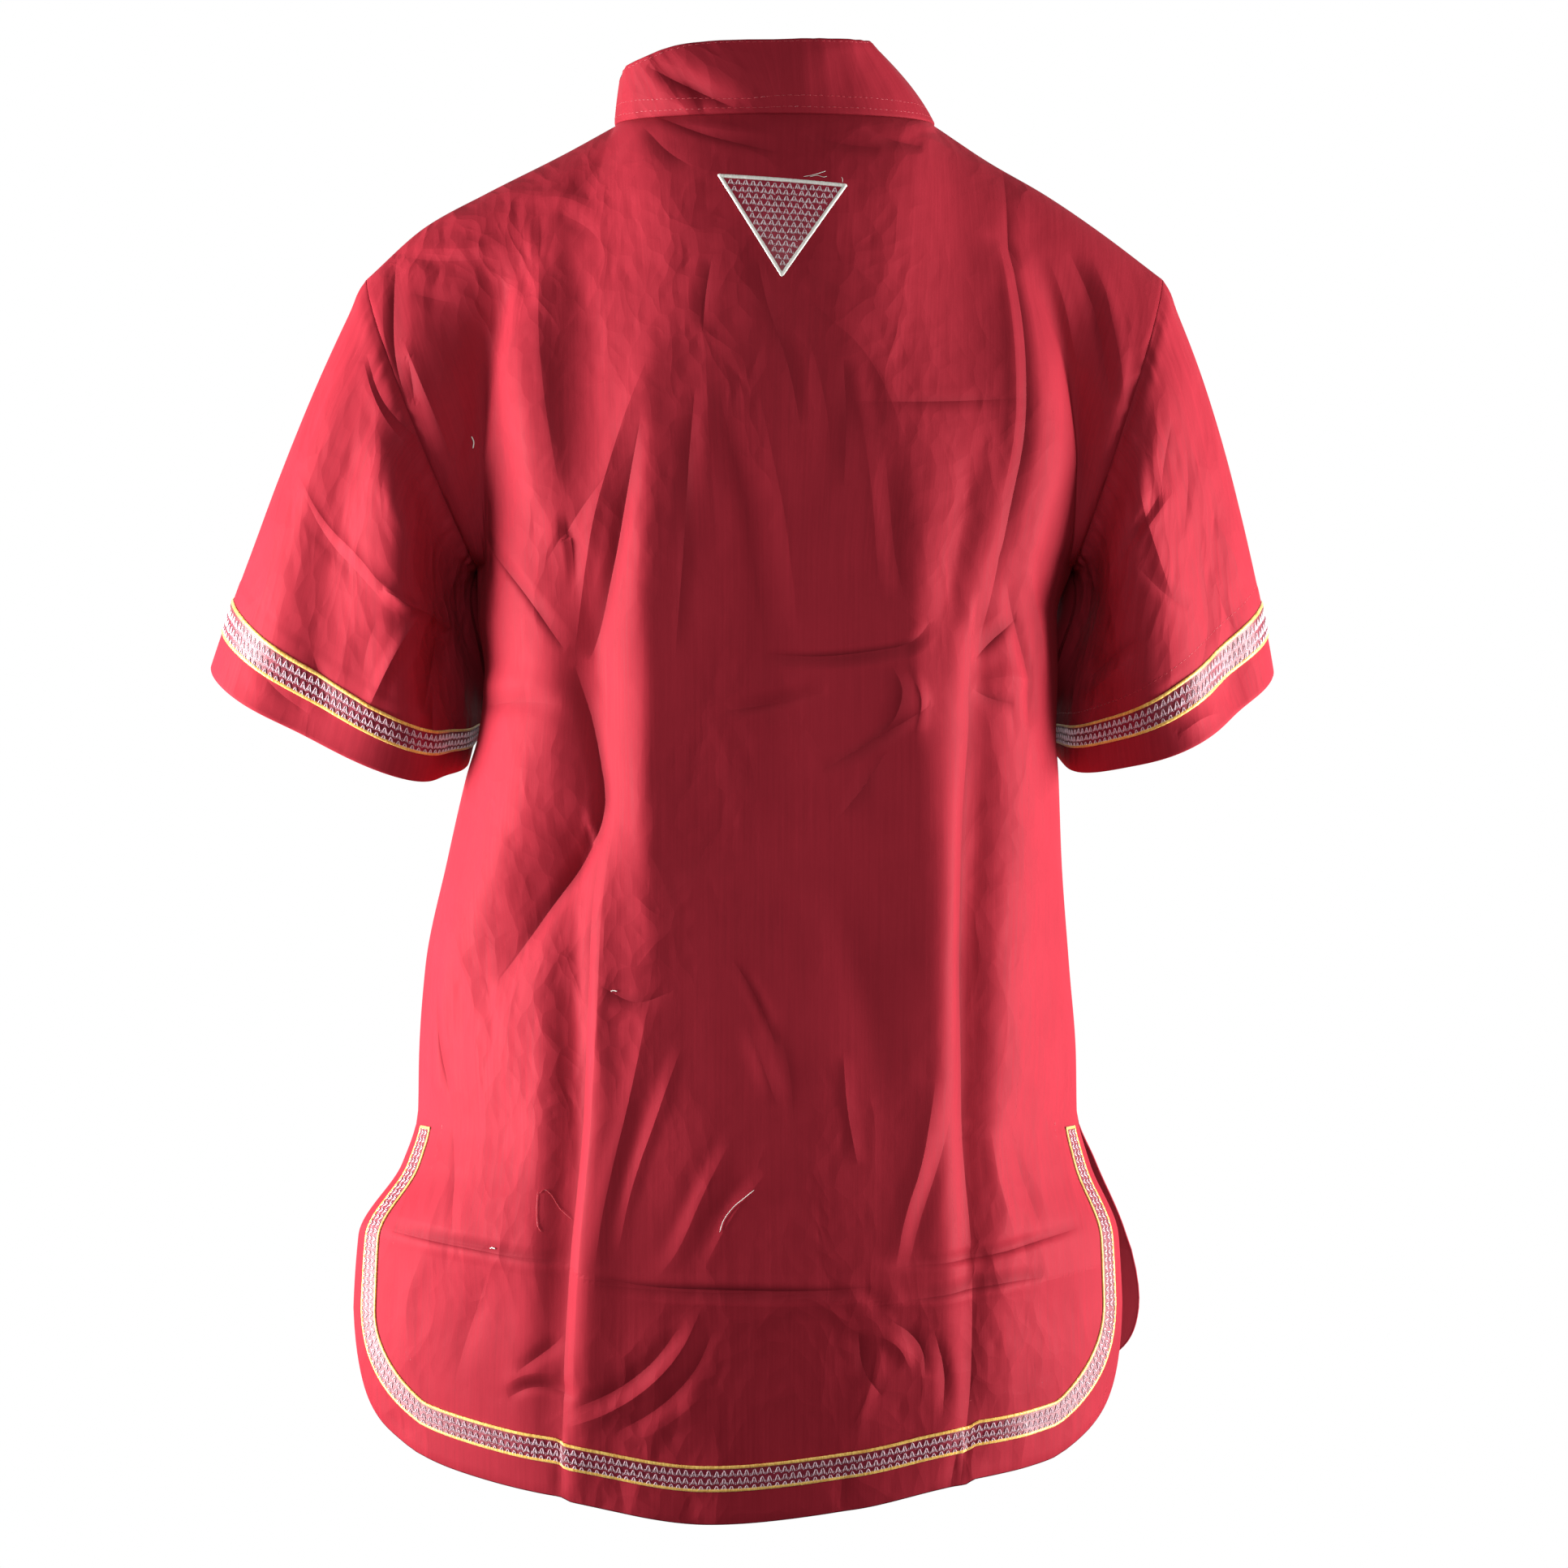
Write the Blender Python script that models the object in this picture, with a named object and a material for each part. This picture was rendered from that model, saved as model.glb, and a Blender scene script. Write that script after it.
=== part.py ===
"""A dashiki shirt as it hangs on a wearer: hollow, short-sleeved, with a stand collar and side slits.

Metres, +Z up. The front faces -Y, the wearer's left is +X, and the origin lies at the height where
the shoulder seams meet the collar, midway between them.
"""
import math

import bpy
import numpy as np
from mathutils import Vector
from mathutils.bvhtree import BVHTree

BACK = 1
FRONT = -1
LEFT = 1
RIGHT = -1

# Cloth and trims
CLOTH = 0.0016            # wall of the panels and sleeves
COLLAR_CLOTH = 0.0024     # two layers and an interfacing
TRIM = 0.0010             # embroidered trim
SEAM_GAP = 0.0003         # between neighbouring pieces
TRIM_LIFT = 0.0003        # between a panel and the trim on it

# Heights
UNDERARM = -0.255
SLIT_TOP = -0.570
HEM_LEVEL = -0.770        # where the hem's breadth is taken

# Grid of a panel
EDGE_COLUMNS = 3          # columns between a side edge and the plain cloth inside the trim
PLAIN_COLUMNS = 28
NECK_COLUMNS = 6          # columns from the centre to the collar's side point
YOKE_ROWS = 11
WAIST_ROWS = 13
SLIT_ROWS = 7
CORNER_STEPS = 4
SIDE_FRACTION = 0.155     # share of a half panel taken by the edge columns

# Trim along slits and hem: distances from the cloth's edge
TRIM_WIDTH = 0.0145
TRIM_START = 0.008        # below the slit's top
CORNER_SIZE = 0.060       # how far a hem corner's rounding reaches along the hem and up the slit
# columns: inset from the slit edge, inset from the hem, sharpness of the rounded corner
EDGE_RINGS = (
    (0.0000, 0.0000, 1.9),
    (0.0095, 0.0185, 1.1),
    (0.0095 + TRIM_WIDTH, 0.0185 + TRIM_WIDTH, 0.9),
    (0.0400, 0.0490, 0.8),
)

# Shoulder seams. columns: distance from the centre, height
SHOULDER = {
    LEFT: ((0.0917, 0.0000), (0.1213, -0.0163), (0.1678, -0.0398), (0.2021, -0.0586), (0.2364, -0.0891)),
    RIGHT: ((0.0917, 0.0000), (0.1231, -0.0210), (0.1556, -0.0398), (0.1870, -0.0610), (0.2242, -0.0891)),
}
# Neckline: how far it goes back or forward of the origin, and how far it drops
NECK_REACH = {BACK: 0.065, FRONT: 0.075}
NECK_DROP = {BACK: 0.003, FRONT: 0.065}
NECK_SLIT_ROWS = 7
NECK_SLIT_WIDTH = 0.003

# Cross sections of the body. columns: height, half breadth to the left, half breadth to the right,
# reach from the side seams to the middle of the panel, reach of the panel's edge, and the turn of
# the panel's edge away from its middle in degrees
BODY = {
    BACK: (
        (-0.255, 0.1720, 0.1720, 0.122, 0.000, 90.0),
        (-0.285, 0.1712, 0.1625, 0.120, 0.000, 90.0),
        (-0.317, 0.1672, 0.1630, 0.117, 0.000, 90.0),
        (-0.350, 0.1705, 0.1620, 0.114, 0.000, 90.0),
        (-0.378, 0.1786, 0.1638, 0.112, 0.000, 88.0),
        (-0.425, 0.1894, 0.1656, 0.110, 0.000, 84.0),
        (-0.486, 0.2021, 0.1700, 0.114, 0.000, 76.0),
        (-0.538, 0.2059, 0.1740, 0.120, 0.000, 69.0),
        (-0.570, 0.2065, 0.1745, 0.124, 0.000, 62.0),
        (-0.600, 0.2150, 0.1815, 0.126, 0.006, 56.0),
        (-0.641, 0.2397, 0.1976, 0.128, 0.014, 52.0),
        (-0.690, 0.2421, 0.1995, 0.128, 0.020, 50.0),
        (-0.745, 0.2360, 0.1945, 0.124, 0.024, 50.0),
        (-0.800, 0.2310, 0.1900, 0.120, 0.026, 50.0),
    ),
    FRONT: (
        (-0.255, 0.1720, 0.1720, 0.122, 0.000, 90.0),
        (-0.285, 0.1712, 0.1625, 0.122, 0.000, 90.0),
        (-0.317, 0.1672, 0.1630, 0.121, 0.000, 90.0),
        (-0.350, 0.1705, 0.1620, 0.120, 0.000, 90.0),
        (-0.378, 0.1786, 0.1638, 0.119, 0.000, 88.0),
        (-0.425, 0.1894, 0.1656, 0.119, 0.000, 84.0),
        (-0.486, 0.2021, 0.1700, 0.121, 0.000, 76.0),
        (-0.538, 0.2059, 0.1740, 0.124, 0.000, 69.0),
        (-0.570, 0.2065, 0.1745, 0.125, 0.000, 62.0),
        (-0.600, 0.2090, 0.1860, 0.127, 0.008, 56.0),
        (-0.641, 0.2190, 0.2040, 0.129, 0.020, 52.0),
        (-0.690, 0.2250, 0.2170, 0.130, 0.030, 50.0),
        (-0.745, 0.2230, 0.2120, 0.128, 0.034, 50.0),
        (-0.800, 0.2200, 0.2080, 0.126, 0.036, 50.0),
    ),
}
SQUARENESS = 2.35         # 2 is an ellipse, more is squarer

# Lower edge of the panels. columns: place across (left is +), height
HEM = {
    BACK: (
        (-0.1950, -0.7360), (-0.1855, -0.7440), (-0.1690, -0.7555), (-0.1500, -0.7620),
        (-0.1006, -0.7690), (-0.0447, -0.7811), (0.0380, -0.7896), (0.1150, -0.7788),
        (0.1810, -0.7660), (0.2104, -0.7552), (0.2360, -0.7400),
    ),
    FRONT: (
        (-0.2120, -0.7120), (-0.1800, -0.7290), (-0.1300, -0.7450), (-0.0600, -0.7580),
        (0.0200, -0.7620), (0.1000, -0.7560), (0.1700, -0.7420), (0.2230, -0.7180),
    ),
}

# Height of the hem's corners. columns: side, height
HEM_ENDS = {
    BACK: ((RIGHT, -0.7390), (LEFT, -0.7420)),
    FRONT: ((RIGHT, -0.7130), (LEFT, -0.7190)),
}

# Directions in which the cloth leaves the shoulder seam and the neckline: outwards, up
SHOULDER_LEAVE = (0.92, -0.22)
NECK_LEAVE = (0.80, -0.55)

# Armholes: how far they reach to the back and to the front of the shoulder tip, how they leave the
# tip (inwards, up), and the share of a half panel at which the cloth starts to follow them
ARMHOLE_REACH = {BACK: 0.056, FRONT: 0.050}
ARMHOLE_LEAVE = (0.020, -0.100)
ARMHOLE_SHARE = 0.68

# Sleeves: the cuff's middle, half its breadth and depth, how far its back hangs below its sides;
# in degrees, the cuff's slope, its turn seen from above, and the lean of the arm at both ends
SLEEVES = {
    LEFT: {
        "cuff": (0.2545, -0.026, -0.3405), "breadth": 0.0785, "depth": 0.058, "drop": 0.025,
        "slope": 17.8, "plan": 14.0, "lean_top": 27.0, "lean_cuff": 19.0,
    },
    RIGHT: {
        "cuff": (-0.2305, -0.026, -0.3415), "breadth": 0.0640, "depth": 0.065, "drop": 0.025,
        "slope": 19.8, "plan": 14.0, "lean_top": 25.0, "lean_cuff": 10.0,
    },
}
UNDERARM_LEAVE = (0.66, -0.30)    # how the sleeve leaves the foot of the armhole: outwards, up
SLEEVE_ROWS = 11
CUFF_TRIM_INSET = 0.0165  # from the cuff's edge to the trim
CUFF_TRIM_WIDTH = 0.0155

# Collar's top edge: centre x and y, half breadth, reach forward and back
COLLAR_CENTRE = (0.0158, -0.0035)
COLLAR_HALF = (0.0728, 0.0585)
COLLAR_ROWS = 4
COLLAR_SPREAD = 0.003     # how far its ends part at the top
# columns: turn from the wearer's left towards the back in degrees, height of the top edge
COLLAR_TOP = (
    (-90.0, -0.0200), (-45.0, 0.0000), (0.0, 0.0275), (25.0, 0.0292), (46.0, 0.0317), (73.0, 0.0380),
    (98.0, 0.0413), (145.0, 0.0428), (180.0, 0.0445), (225.0, 0.0060), (270.0, -0.0200),
)

# Corners of the embroidered triangle under the back neck. columns: x, z
TRIANGLE = ((0.0323, -0.0413), (-0.0409, -0.0472), (-0.0040, -0.1020))
TRIANGLE_STEPS = 12

# Large folds, each along a line of (distance across the cloth from the centre, height).
# columns: line, half width, rise at the line, swing (+ lifts the left side and sinks the right)
FOLD_END = 0.12           # how much of a fold's rise is left at its ends
FOLDS = {
    BACK: (
        (((0.150, -0.085), (0.184, -0.130), (0.205, -0.190), (0.215, -0.250)), 0.022, -0.012, 0.0),
        (((-0.150, -0.080), (-0.184, -0.130), (-0.208, -0.190), (-0.216, -0.240)), 0.022, -0.012, 0.0),
        (((0.134, -0.090), (0.128, -0.160), (0.122, -0.230)), 0.022, 0.006, 0.004),
        (((-0.128, -0.100), (-0.140, -0.160), (-0.150, -0.260)), 0.020, 0.007, 0.0),
        (((0.066, -0.150), (0.068, -0.300), (0.070, -0.540)), 0.022, 0.006, 0.0),
        (((-0.078, -0.190), (-0.082, -0.360), (-0.082, -0.640)), 0.022, 0.006, 0.0),
        (((0.120, -0.240), (0.104, -0.330), (0.100, -0.400)), 0.018, -0.008, 0.0),
        (((0.100, -0.400), (0.140, -0.450), (0.175, -0.500)), 0.022, -0.009, 0.0),
        (((0.110, -0.420), (0.108, -0.560), (0.118, -0.740)), 0.014, -0.005, -0.004),
        (((-0.112, -0.300), (-0.104, -0.480), (-0.108, -0.740)), 0.014, -0.005, 0.004),
        (((0.010, -0.200), (0.004, -0.300), (0.000, -0.420)), 0.030, -0.005, 0.0),
        (((-0.160, -0.300), (-0.150, -0.420), (-0.150, -0.560)), 0.022, 0.005, 0.0),
    ),
    FRONT: (
        (((0.150, -0.085), (0.184, -0.130), (0.205, -0.190), (0.215, -0.250)), 0.022, -0.010, 0.0),
        (((-0.150, -0.085), (-0.184, -0.130), (-0.208, -0.190), (-0.216, -0.240)), 0.022, -0.010, 0.0),
        (((0.110, -0.160), (0.102, -0.360), (0.112, -0.720)), 0.026, 0.009, 0.0),
        (((-0.104, -0.170), (-0.110, -0.400), (-0.104, -0.720)), 0.026, 0.009, 0.0),
        (((0.056, -0.230), (0.050, -0.420), (0.054, -0.740)), 0.022, -0.007, 0.0),
        (((-0.050, -0.260), (-0.058, -0.480), (-0.050, -0.740)), 0.022, -0.007, 0.0),
        (((0.170, -0.300), (0.150, -0.420), (0.160, -0.640)), 0.022, -0.007, 0.0),
        (((-0.170, -0.290), (-0.152, -0.420), (-0.156, -0.600)), 0.022, -0.007, 0.0),
    ),
}
# Folds of the sleeves. columns: turn round the arm in degrees (0 is outside, 90 is the back) and
# share of the way down, at both ends; half width in metres; rise
SLEEVE_FOLDS = {
    LEFT: (
        ((118.0, 0.10), (100.0, 0.45), 0.016, -0.006),
        ((70.0, 0.55), (96.0, 0.95), 0.018, -0.005),
        ((250.0, 0.15), (262.0, 0.70), 0.018, -0.006),
        ((40.0, 0.30), (52.0, 0.80), 0.022, 0.004),
        ((206.0, 0.32), (200.0, 0.80), 0.024, 0.015),
    ),
    RIGHT: (
        ((112.0, 0.10), (96.0, 0.50), 0.016, -0.006),
        ((62.0, 0.40), (84.0, 0.95), 0.020, 0.005),
        ((246.0, 0.15), (258.0, 0.75), 0.018, -0.006),
        ((30.0, 0.35), (36.0, 0.90), 0.022, -0.004),
        ((206.0, 0.30), (200.0, 0.85), 0.026, 0.021),
    ),
}

# Colours: name, base colour, roughness
FINISH = {
    "cloth_red": ((0.56, 0.022, 0.040), 0.62),
    "trim_embroidery": ((0.42, 0.16, 0.20), 0.70),
}


# ---------------------------------------------------------------- small geometry helpers

def ease(t):
    """Rises smoothly from 0 to 1."""
    t = np.clip(t, 0.0, 1.0)
    return t * t * (3.0 - 2.0 * t)


def follow(x, table, column):
    """Smooth curve through one column of a table, which never overshoots its values."""
    rows = np.array(sorted(table))
    places = rows[:, 0]
    values = rows[:, column]
    rates = np.diff(values) / np.diff(places)
    slopes = np.concatenate((rates[:1], np.zeros(len(rates) - 1), rates[-1:]))
    same = rates[:-1] * rates[1:] > 0
    sums = np.where(same, rates[:-1] + rates[1:], 1.0)
    slopes[1:-1] = np.where(same, 2 * rates[:-1] * rates[1:] / sums, 0.0)
    x = np.clip(np.asarray(x, float), places[0], places[-1])
    k = np.clip(np.searchsorted(places, x) - 1, 0, len(places) - 2)
    span = places[k + 1] - places[k]
    t = (x - places[k]) / span
    return hermite(values[k], values[k + 1], slopes[k] * span, slopes[k + 1] * span, t)


def hermite(start, end, leave, arrive, t):
    """Cubic from start to end with the given derivatives."""
    a = 2 * t**3 - 3 * t**2 + 1
    b = -2 * t**3 + 3 * t**2
    c = t**3 - 2 * t**2 + t
    d = t**3 - t**2
    return a * start + b * end + c * leave + d * arrive


def triple(x, y, z):
    return np.stack(np.broadcast_arrays(x, y, z), axis=-1).astype(float)


def distance_to_line(s, z, line):
    """Signed distance from a broken line, + on its left, and the share of the line passed."""
    best = np.full(np.shape(s), 9.0)
    side = np.zeros(np.shape(s))
    passed = np.zeros(np.shape(s))
    lengths = [math.dist(a, b) for a, b in zip(line, line[1:])]
    before = 0.0
    for (a, b), length in zip(zip(line, line[1:]), lengths):
        ds = (b[0] - a[0]) / length
        dz = (b[1] - a[1]) / length
        along = np.clip((s - a[0]) * ds + (z - a[1]) * dz, 0.0, length)
        off_s = s - a[0] - along * ds
        off_z = z - a[1] - along * dz
        away = np.hypot(off_s, off_z)
        nearer = away < best
        best = np.where(nearer, away, best)
        side = np.where(nearer, np.sign(ds * off_z - dz * off_s), side)
        passed = np.where(nearer, before + along, passed)
        before += length
    return best * side, passed / before


def fold_height(s, z, folds):
    """How far the folds lift the cloth at a place on it."""
    height = np.zeros(np.shape(s))
    for line, width, rise, swing in folds:
        away, passed = distance_to_line(s, z, line)
        t = away / width
        fade = np.sin(math.pi * (FOLD_END + (1.0 - 2.0 * FOLD_END) * passed))
        bell = np.exp(-t * t) * fade
        height += rise * bell + swing * 2.3 * t * bell
    return height


# ---------------------------------------------------------------- body

def half_section(z, side, face):
    """Dense points of one half of a panel's cross section, from its middle to its side."""
    seam_face = BACK if z >= SLIT_TOP else face
    half = follow(z, BODY[seam_face], 1 if side == LEFT else 2)
    reach = follow(z, BODY[face], 3)
    edge = follow(z, BODY[face], 4)
    end = math.radians(follow(z, BODY[face], 5))
    turn = np.linspace(0.0, end, 65)
    power = 2 / SQUARENESS
    breadth = np.sin(turn) ** power / math.sin(end) ** power
    foot = max(math.cos(end), 0.0) ** power
    depth = (np.maximum(np.cos(turn), 0.0) ** power - foot) / (1.0 - foot)
    x = half * breadth
    y = edge + (reach - edge) * depth
    length = np.concatenate(([0.0], np.cumsum(np.hypot(np.diff(x), np.diff(y)))))
    return x, y, length


def half_length(z, side, face):
    """Length of cloth from the middle of a panel to its side."""
    return half_section(z, side, face)[2][-1]


def lengths_along(places, face):
    """Length of cloth from the middle to the side at each (share, height)."""
    return np.array([half_length(z, LEFT if u >= 0 else RIGHT, face) for u, z in places])


def section(u, z, face):
    """Point of the body at share u of the half panel (+1 is the left side) and height z."""
    u, z = np.broadcast_arrays(np.asarray(u, float), np.asarray(z, float))
    points = np.empty(u.shape + (3,))
    for place in np.ndindex(u.shape):
        side = LEFT if u[place] >= 0 else RIGHT
        x, y, length = half_section(z[place], side, face)
        s = abs(u[place]) * length[-1]
        points[place] = (side * np.interp(s, length, x), face * np.interp(s, length, y), z[place])
    return points


def columns():
    """Share of the half panel at each column, from the wearer's right (-1) to the left (+1)."""
    plain = np.linspace(-1.0, 1.0, PLAIN_COLUMNS + 1) * (1.0 - SIDE_FRACTION)
    inset = [ring[0] / EDGE_RINGS[-1][0] * SIDE_FRACTION for ring in EDGE_RINGS[:-1]]
    right = [-1.0 + share for share in inset]
    left = [1.0 - share for share in reversed(inset)]
    return np.concatenate((right, plain, left))


def top_edge(u, face):
    """Neckline and shoulder seam at share u of the half panel."""
    neck_share = NECK_COLUMNS / (PLAIN_COLUMNS / 2) * (1.0 - SIDE_FRACTION)
    points = np.empty(np.shape(u) + (3,))
    for k, share in enumerate(u):
        side = LEFT if share >= 0 else RIGHT
        seam = SHOULDER[side]
        if abs(share) <= neck_share + 1e-9:
            turn = abs(share) / neck_share * math.pi / 2
            x = side * seam[0][0] * math.sin(turn)
            y = face * NECK_REACH[face] * math.cos(turn)
            z = -NECK_DROP[face] * max(math.cos(turn), 0.0) ** 1.4
        else:
            along = (abs(share) - neck_share) / (1.0 - neck_share)
            distance = seam[0][0] + along * (seam[-1][0] - seam[0][0])
            x = side * distance
            y = 0.0
            z = float(follow(distance, seam, 1))
        points[k] = (x, y, z)
    return points


def yoke(u, v, face):
    """Point of the upper panel: share u across, share v from the shoulder to the underarm."""
    start = top_edge(u, face)
    end = section(u, UNDERARM, face)
    below = section(u, UNDERARM - 0.01, face)
    neck_share = NECK_COLUMNS / (PLAIN_COLUMNS / 2) * (1.0 - SIDE_FRACTION)
    drop = (start[:, 2] - UNDERARM)[:, None]
    neckness = ease(1.0 - np.abs(u) / neck_share)[:, None]
    sideness = ease((np.abs(u) - ARMHOLE_SHARE) / (1.0 - ARMHOLE_SHARE))[:, None]
    over_shoulder = np.array([0.0, face * SHOULDER_LEAVE[0], SHOULDER_LEAVE[1]])
    from_neck = np.array([0.0, face * NECK_LEAVE[0], NECK_LEAVE[1]])
    leave = (over_shoulder * (1.0 - neckness) + from_neck * neckness) * drop * 0.95
    arrive = (below - end) / 0.01 * drop * 1.05
    # the outermost rib is the armhole, which curls under the arm towards the other panel
    bulge = face * 4.0 * ARMHOLE_REACH[face]
    inward = -np.sign(u)[:, None] * np.array([ARMHOLE_LEAVE[0], 0.0, 0.0])
    leave_armhole = np.array([0.0, bulge, ARMHOLE_LEAVE[1]]) + inward
    arrive_armhole = np.array([0.0, -bulge, 0.0])
    leave = leave * (1.0 - sideness) + leave_armhole * sideness
    arrive = arrive * (1.0 - sideness) + arrive_armhole * sideness
    t = np.asarray(v, float)[:, None, None]
    return hermite(start[None], end[None], leave[None], arrive[None], t)


def edge_path(ring, face):
    """(share, height) along a line that follows slit, rounded corner, hem, corner and slit."""
    inset, rise, sharpness = ring

    def hem_height(u):
        x = section(u, HEM_LEVEL, face)[0]
        return float(follow(x, HEM[face], 1)) + rise

    def share(side, s, z):
        return side * s / half_length(z, side, face)

    halves = {}
    for side in (RIGHT, LEFT):
        corner_z = follow(side, HEM_ENDS[face], 1)
        z = corner_z + rise
        s = half_length(z, side, face) - inset
        s_end = half_length(corner_z, side, face) - CORNER_SIZE
        foot = (s_end, hem_height(share(side, s_end, z)))
        down = np.linspace(SLIT_TOP - TRIM_START, corner_z + CORNER_SIZE, SLIT_ROWS)
        down = np.concatenate(([SLIT_TOP], down))
        slit = [(half_length(h, side, face) - inset, h) for h in down]
        start = slit[-1]
        turn = []
        for step in range(1, CORNER_STEPS):
            t = step / CORNER_STEPS
            a = (1 - t) ** 2
            b = 2 * t * (1 - t) * sharpness
            c = t * t
            p = (a * start[0] + b * s + c * foot[0]) / (a + b + c)
            h = (a * start[1] + b * z + c * foot[1]) / (a + b + c)
            turn.append((p, h))
        halves[side] = [(share(side, p, h), h) for p, h in slit + turn], foot
    right, right_foot = halves[RIGHT]
    left, left_foot = halves[LEFT]
    hem = []
    for s in np.linspace(-right_foot[0], left_foot[0], PLAIN_COLUMNS - CORNER_STEPS + 1):
        side = LEFT if s >= 0 else RIGHT
        z = hem_height(share(side, abs(s), HEM_LEVEL))
        z = hem_height(share(side, abs(s), z))
        hem.append((share(side, abs(s), z), z))
    return np.array(right + hem + left[::-1])


class Patch:
    """Points with four-cornered faces between them."""

    def __init__(self):
        self.points = []
        self.faces = []
        self.normals = None
        self.slit = []        # pairs of point numbers: the slit's left edge, its right edge

    def add(self, points):
        """Adds points and returns their numbers in the same arrangement."""
        points = np.asarray(points, float)
        first = len(self.points)
        self.points.extend(points.reshape(-1, 3))
        return np.arange(first, len(self.points)).reshape(points.shape[:-1])

    def fill(self, grid):
        """Adds the faces of a rectangular arrangement of point numbers."""
        for a, b in zip(grid, grid[1:]):
            for k in range(len(a) - 1):
                self.faces.append((a[k], a[k + 1], b[k + 1], b[k]))


def folded(points, s, face, fade):
    """Moves the points of a panel along its outward direction by the height of its folds."""
    height = fold_height(s, points[..., 2], FOLDS[face]) * fade
    outward = points * np.array([0.55, 1.0, 0.0])
    outward /= np.linalg.norm(outward, axis=-1, keepdims=True) + 1e-9
    return points + outward * height[..., None]


def panel(face):
    """The whole panel as a patch, with the numbers of the points that other pieces follow."""
    patch = Patch()
    u = columns()
    reach = 0.5 * (half_length(UNDERARM, LEFT, face) + half_length(UNDERARM, RIGHT, face))
    edge_fade = ease((1.0 - np.abs(u)) * reach / 0.030)

    v = np.linspace(0.0, 1.0, YOKE_ROWS + 1)
    top = yoke(u, v, face)
    top_fade = ease(v / 0.16)[:, None] * edge_fade[None]
    top = folded(top, np.broadcast_to(u * reach, top.shape[:2]), face, top_fade)

    heights = np.linspace(UNDERARM, SLIT_TOP, WAIST_ROWS + 1)[1:]
    uu, zz = np.meshgrid(u, heights)
    waist = section(uu, zz, face)
    lengths = np.array([[half_length(z, s, face) for s in (RIGHT, LEFT)] for z in heights])
    s = uu * np.where(uu < 0, lengths[:, :1], lengths[:, 1:])
    waist = folded(waist, s, face, edge_fade[None])
    grid = patch.add(np.concatenate((top, waist)))

    # rings of points that follow the slits and the hem
    last = len(u) - 1
    rings = []
    for number, ring in enumerate(EDGE_RINGS):
        path = edge_path(ring, face)
        u_ring, z_ring = path[:, 0], path[:, 1]
        points = section(u_ring, z_ring, face)
        length = lengths_along(path, face)
        loose = ease((SLIT_TOP - z_ring) / 0.05)
        fade = ease((1.0 - np.abs(u_ring)) * length / 0.022) * (1 - loose) + loose
        points = folded(points, u_ring * length, face, fade)
        numbers = patch.add(points)
        numbers[0] = grid[-1][number]
        numbers[-1] = grid[-1][last - number]
        rings.append(numbers)

    # plain cloth inside the rings
    rows = SLIT_ROWS + CORNER_STEPS // 2
    inner = rings[-1]
    top_u = u[EDGE_COLUMNS:last - EDGE_COLUMNS + 1]
    top_path = np.stack((top_u, np.full(len(top_u), SLIT_TOP)), axis=1)
    right_path = path[:rows + 1]
    left_path = path[::-1][:rows + 1]
    hem_path = path[rows:len(path) - rows]
    block = [grid[-1][EDGE_COLUMNS:last - EDGE_COLUMNS + 1]]
    for row in range(1, rows):
        down = row / rows
        across = np.linspace(0.0, 1.0, len(top_u))[:, None]
        sides = right_path[row] * (1 - across) + left_path[row] * across
        ends = top_path * (1 - down) + hem_path * down
        corners = (1 - down) * ((1 - across) * top_path[0] + across * top_path[-1])
        corners = corners + down * ((1 - across) * hem_path[0] + across * hem_path[-1])
        place = (sides + ends - corners)[1:-1]
        points = section(place[:, 0], place[:, 1], face)
        length = lengths_along(place, face)
        points = folded(points, place[:, 0] * length, face, 1.0)
        numbers = patch.add(points)
        block.append(np.concatenate(([inner[row]], numbers, [inner[len(path) - 1 - row]])))
    block.append(inner[rows:len(path) - rows])

    if face == FRONT:
        open_neck_slit(patch, grid)
    patch.fill(grid)
    for outer, inner_ring in zip(rings, rings[1:]):
        patch.fill((inner_ring, outer))
    patch.fill(block)
    return patch, grid, rings


def open_neck_slit(patch, grid):
    """Splits the middle column of the front above the slit's foot and spreads its two edges."""
    middle = grid.shape[1] // 2
    for row in range(NECK_SLIT_ROWS):
        number = grid[row][middle]
        width = NECK_SLIT_WIDTH / 2
        right_copy = np.array(patch.points[number])
        right_copy[0] -= width
        patch.points[number] = patch.points[number] + np.array((width, 0.0, 0.0))
        patch.slit.append((number, patch.add(right_copy[None])[0]))


# ---------------------------------------------------------------- sleeves and collar

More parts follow.
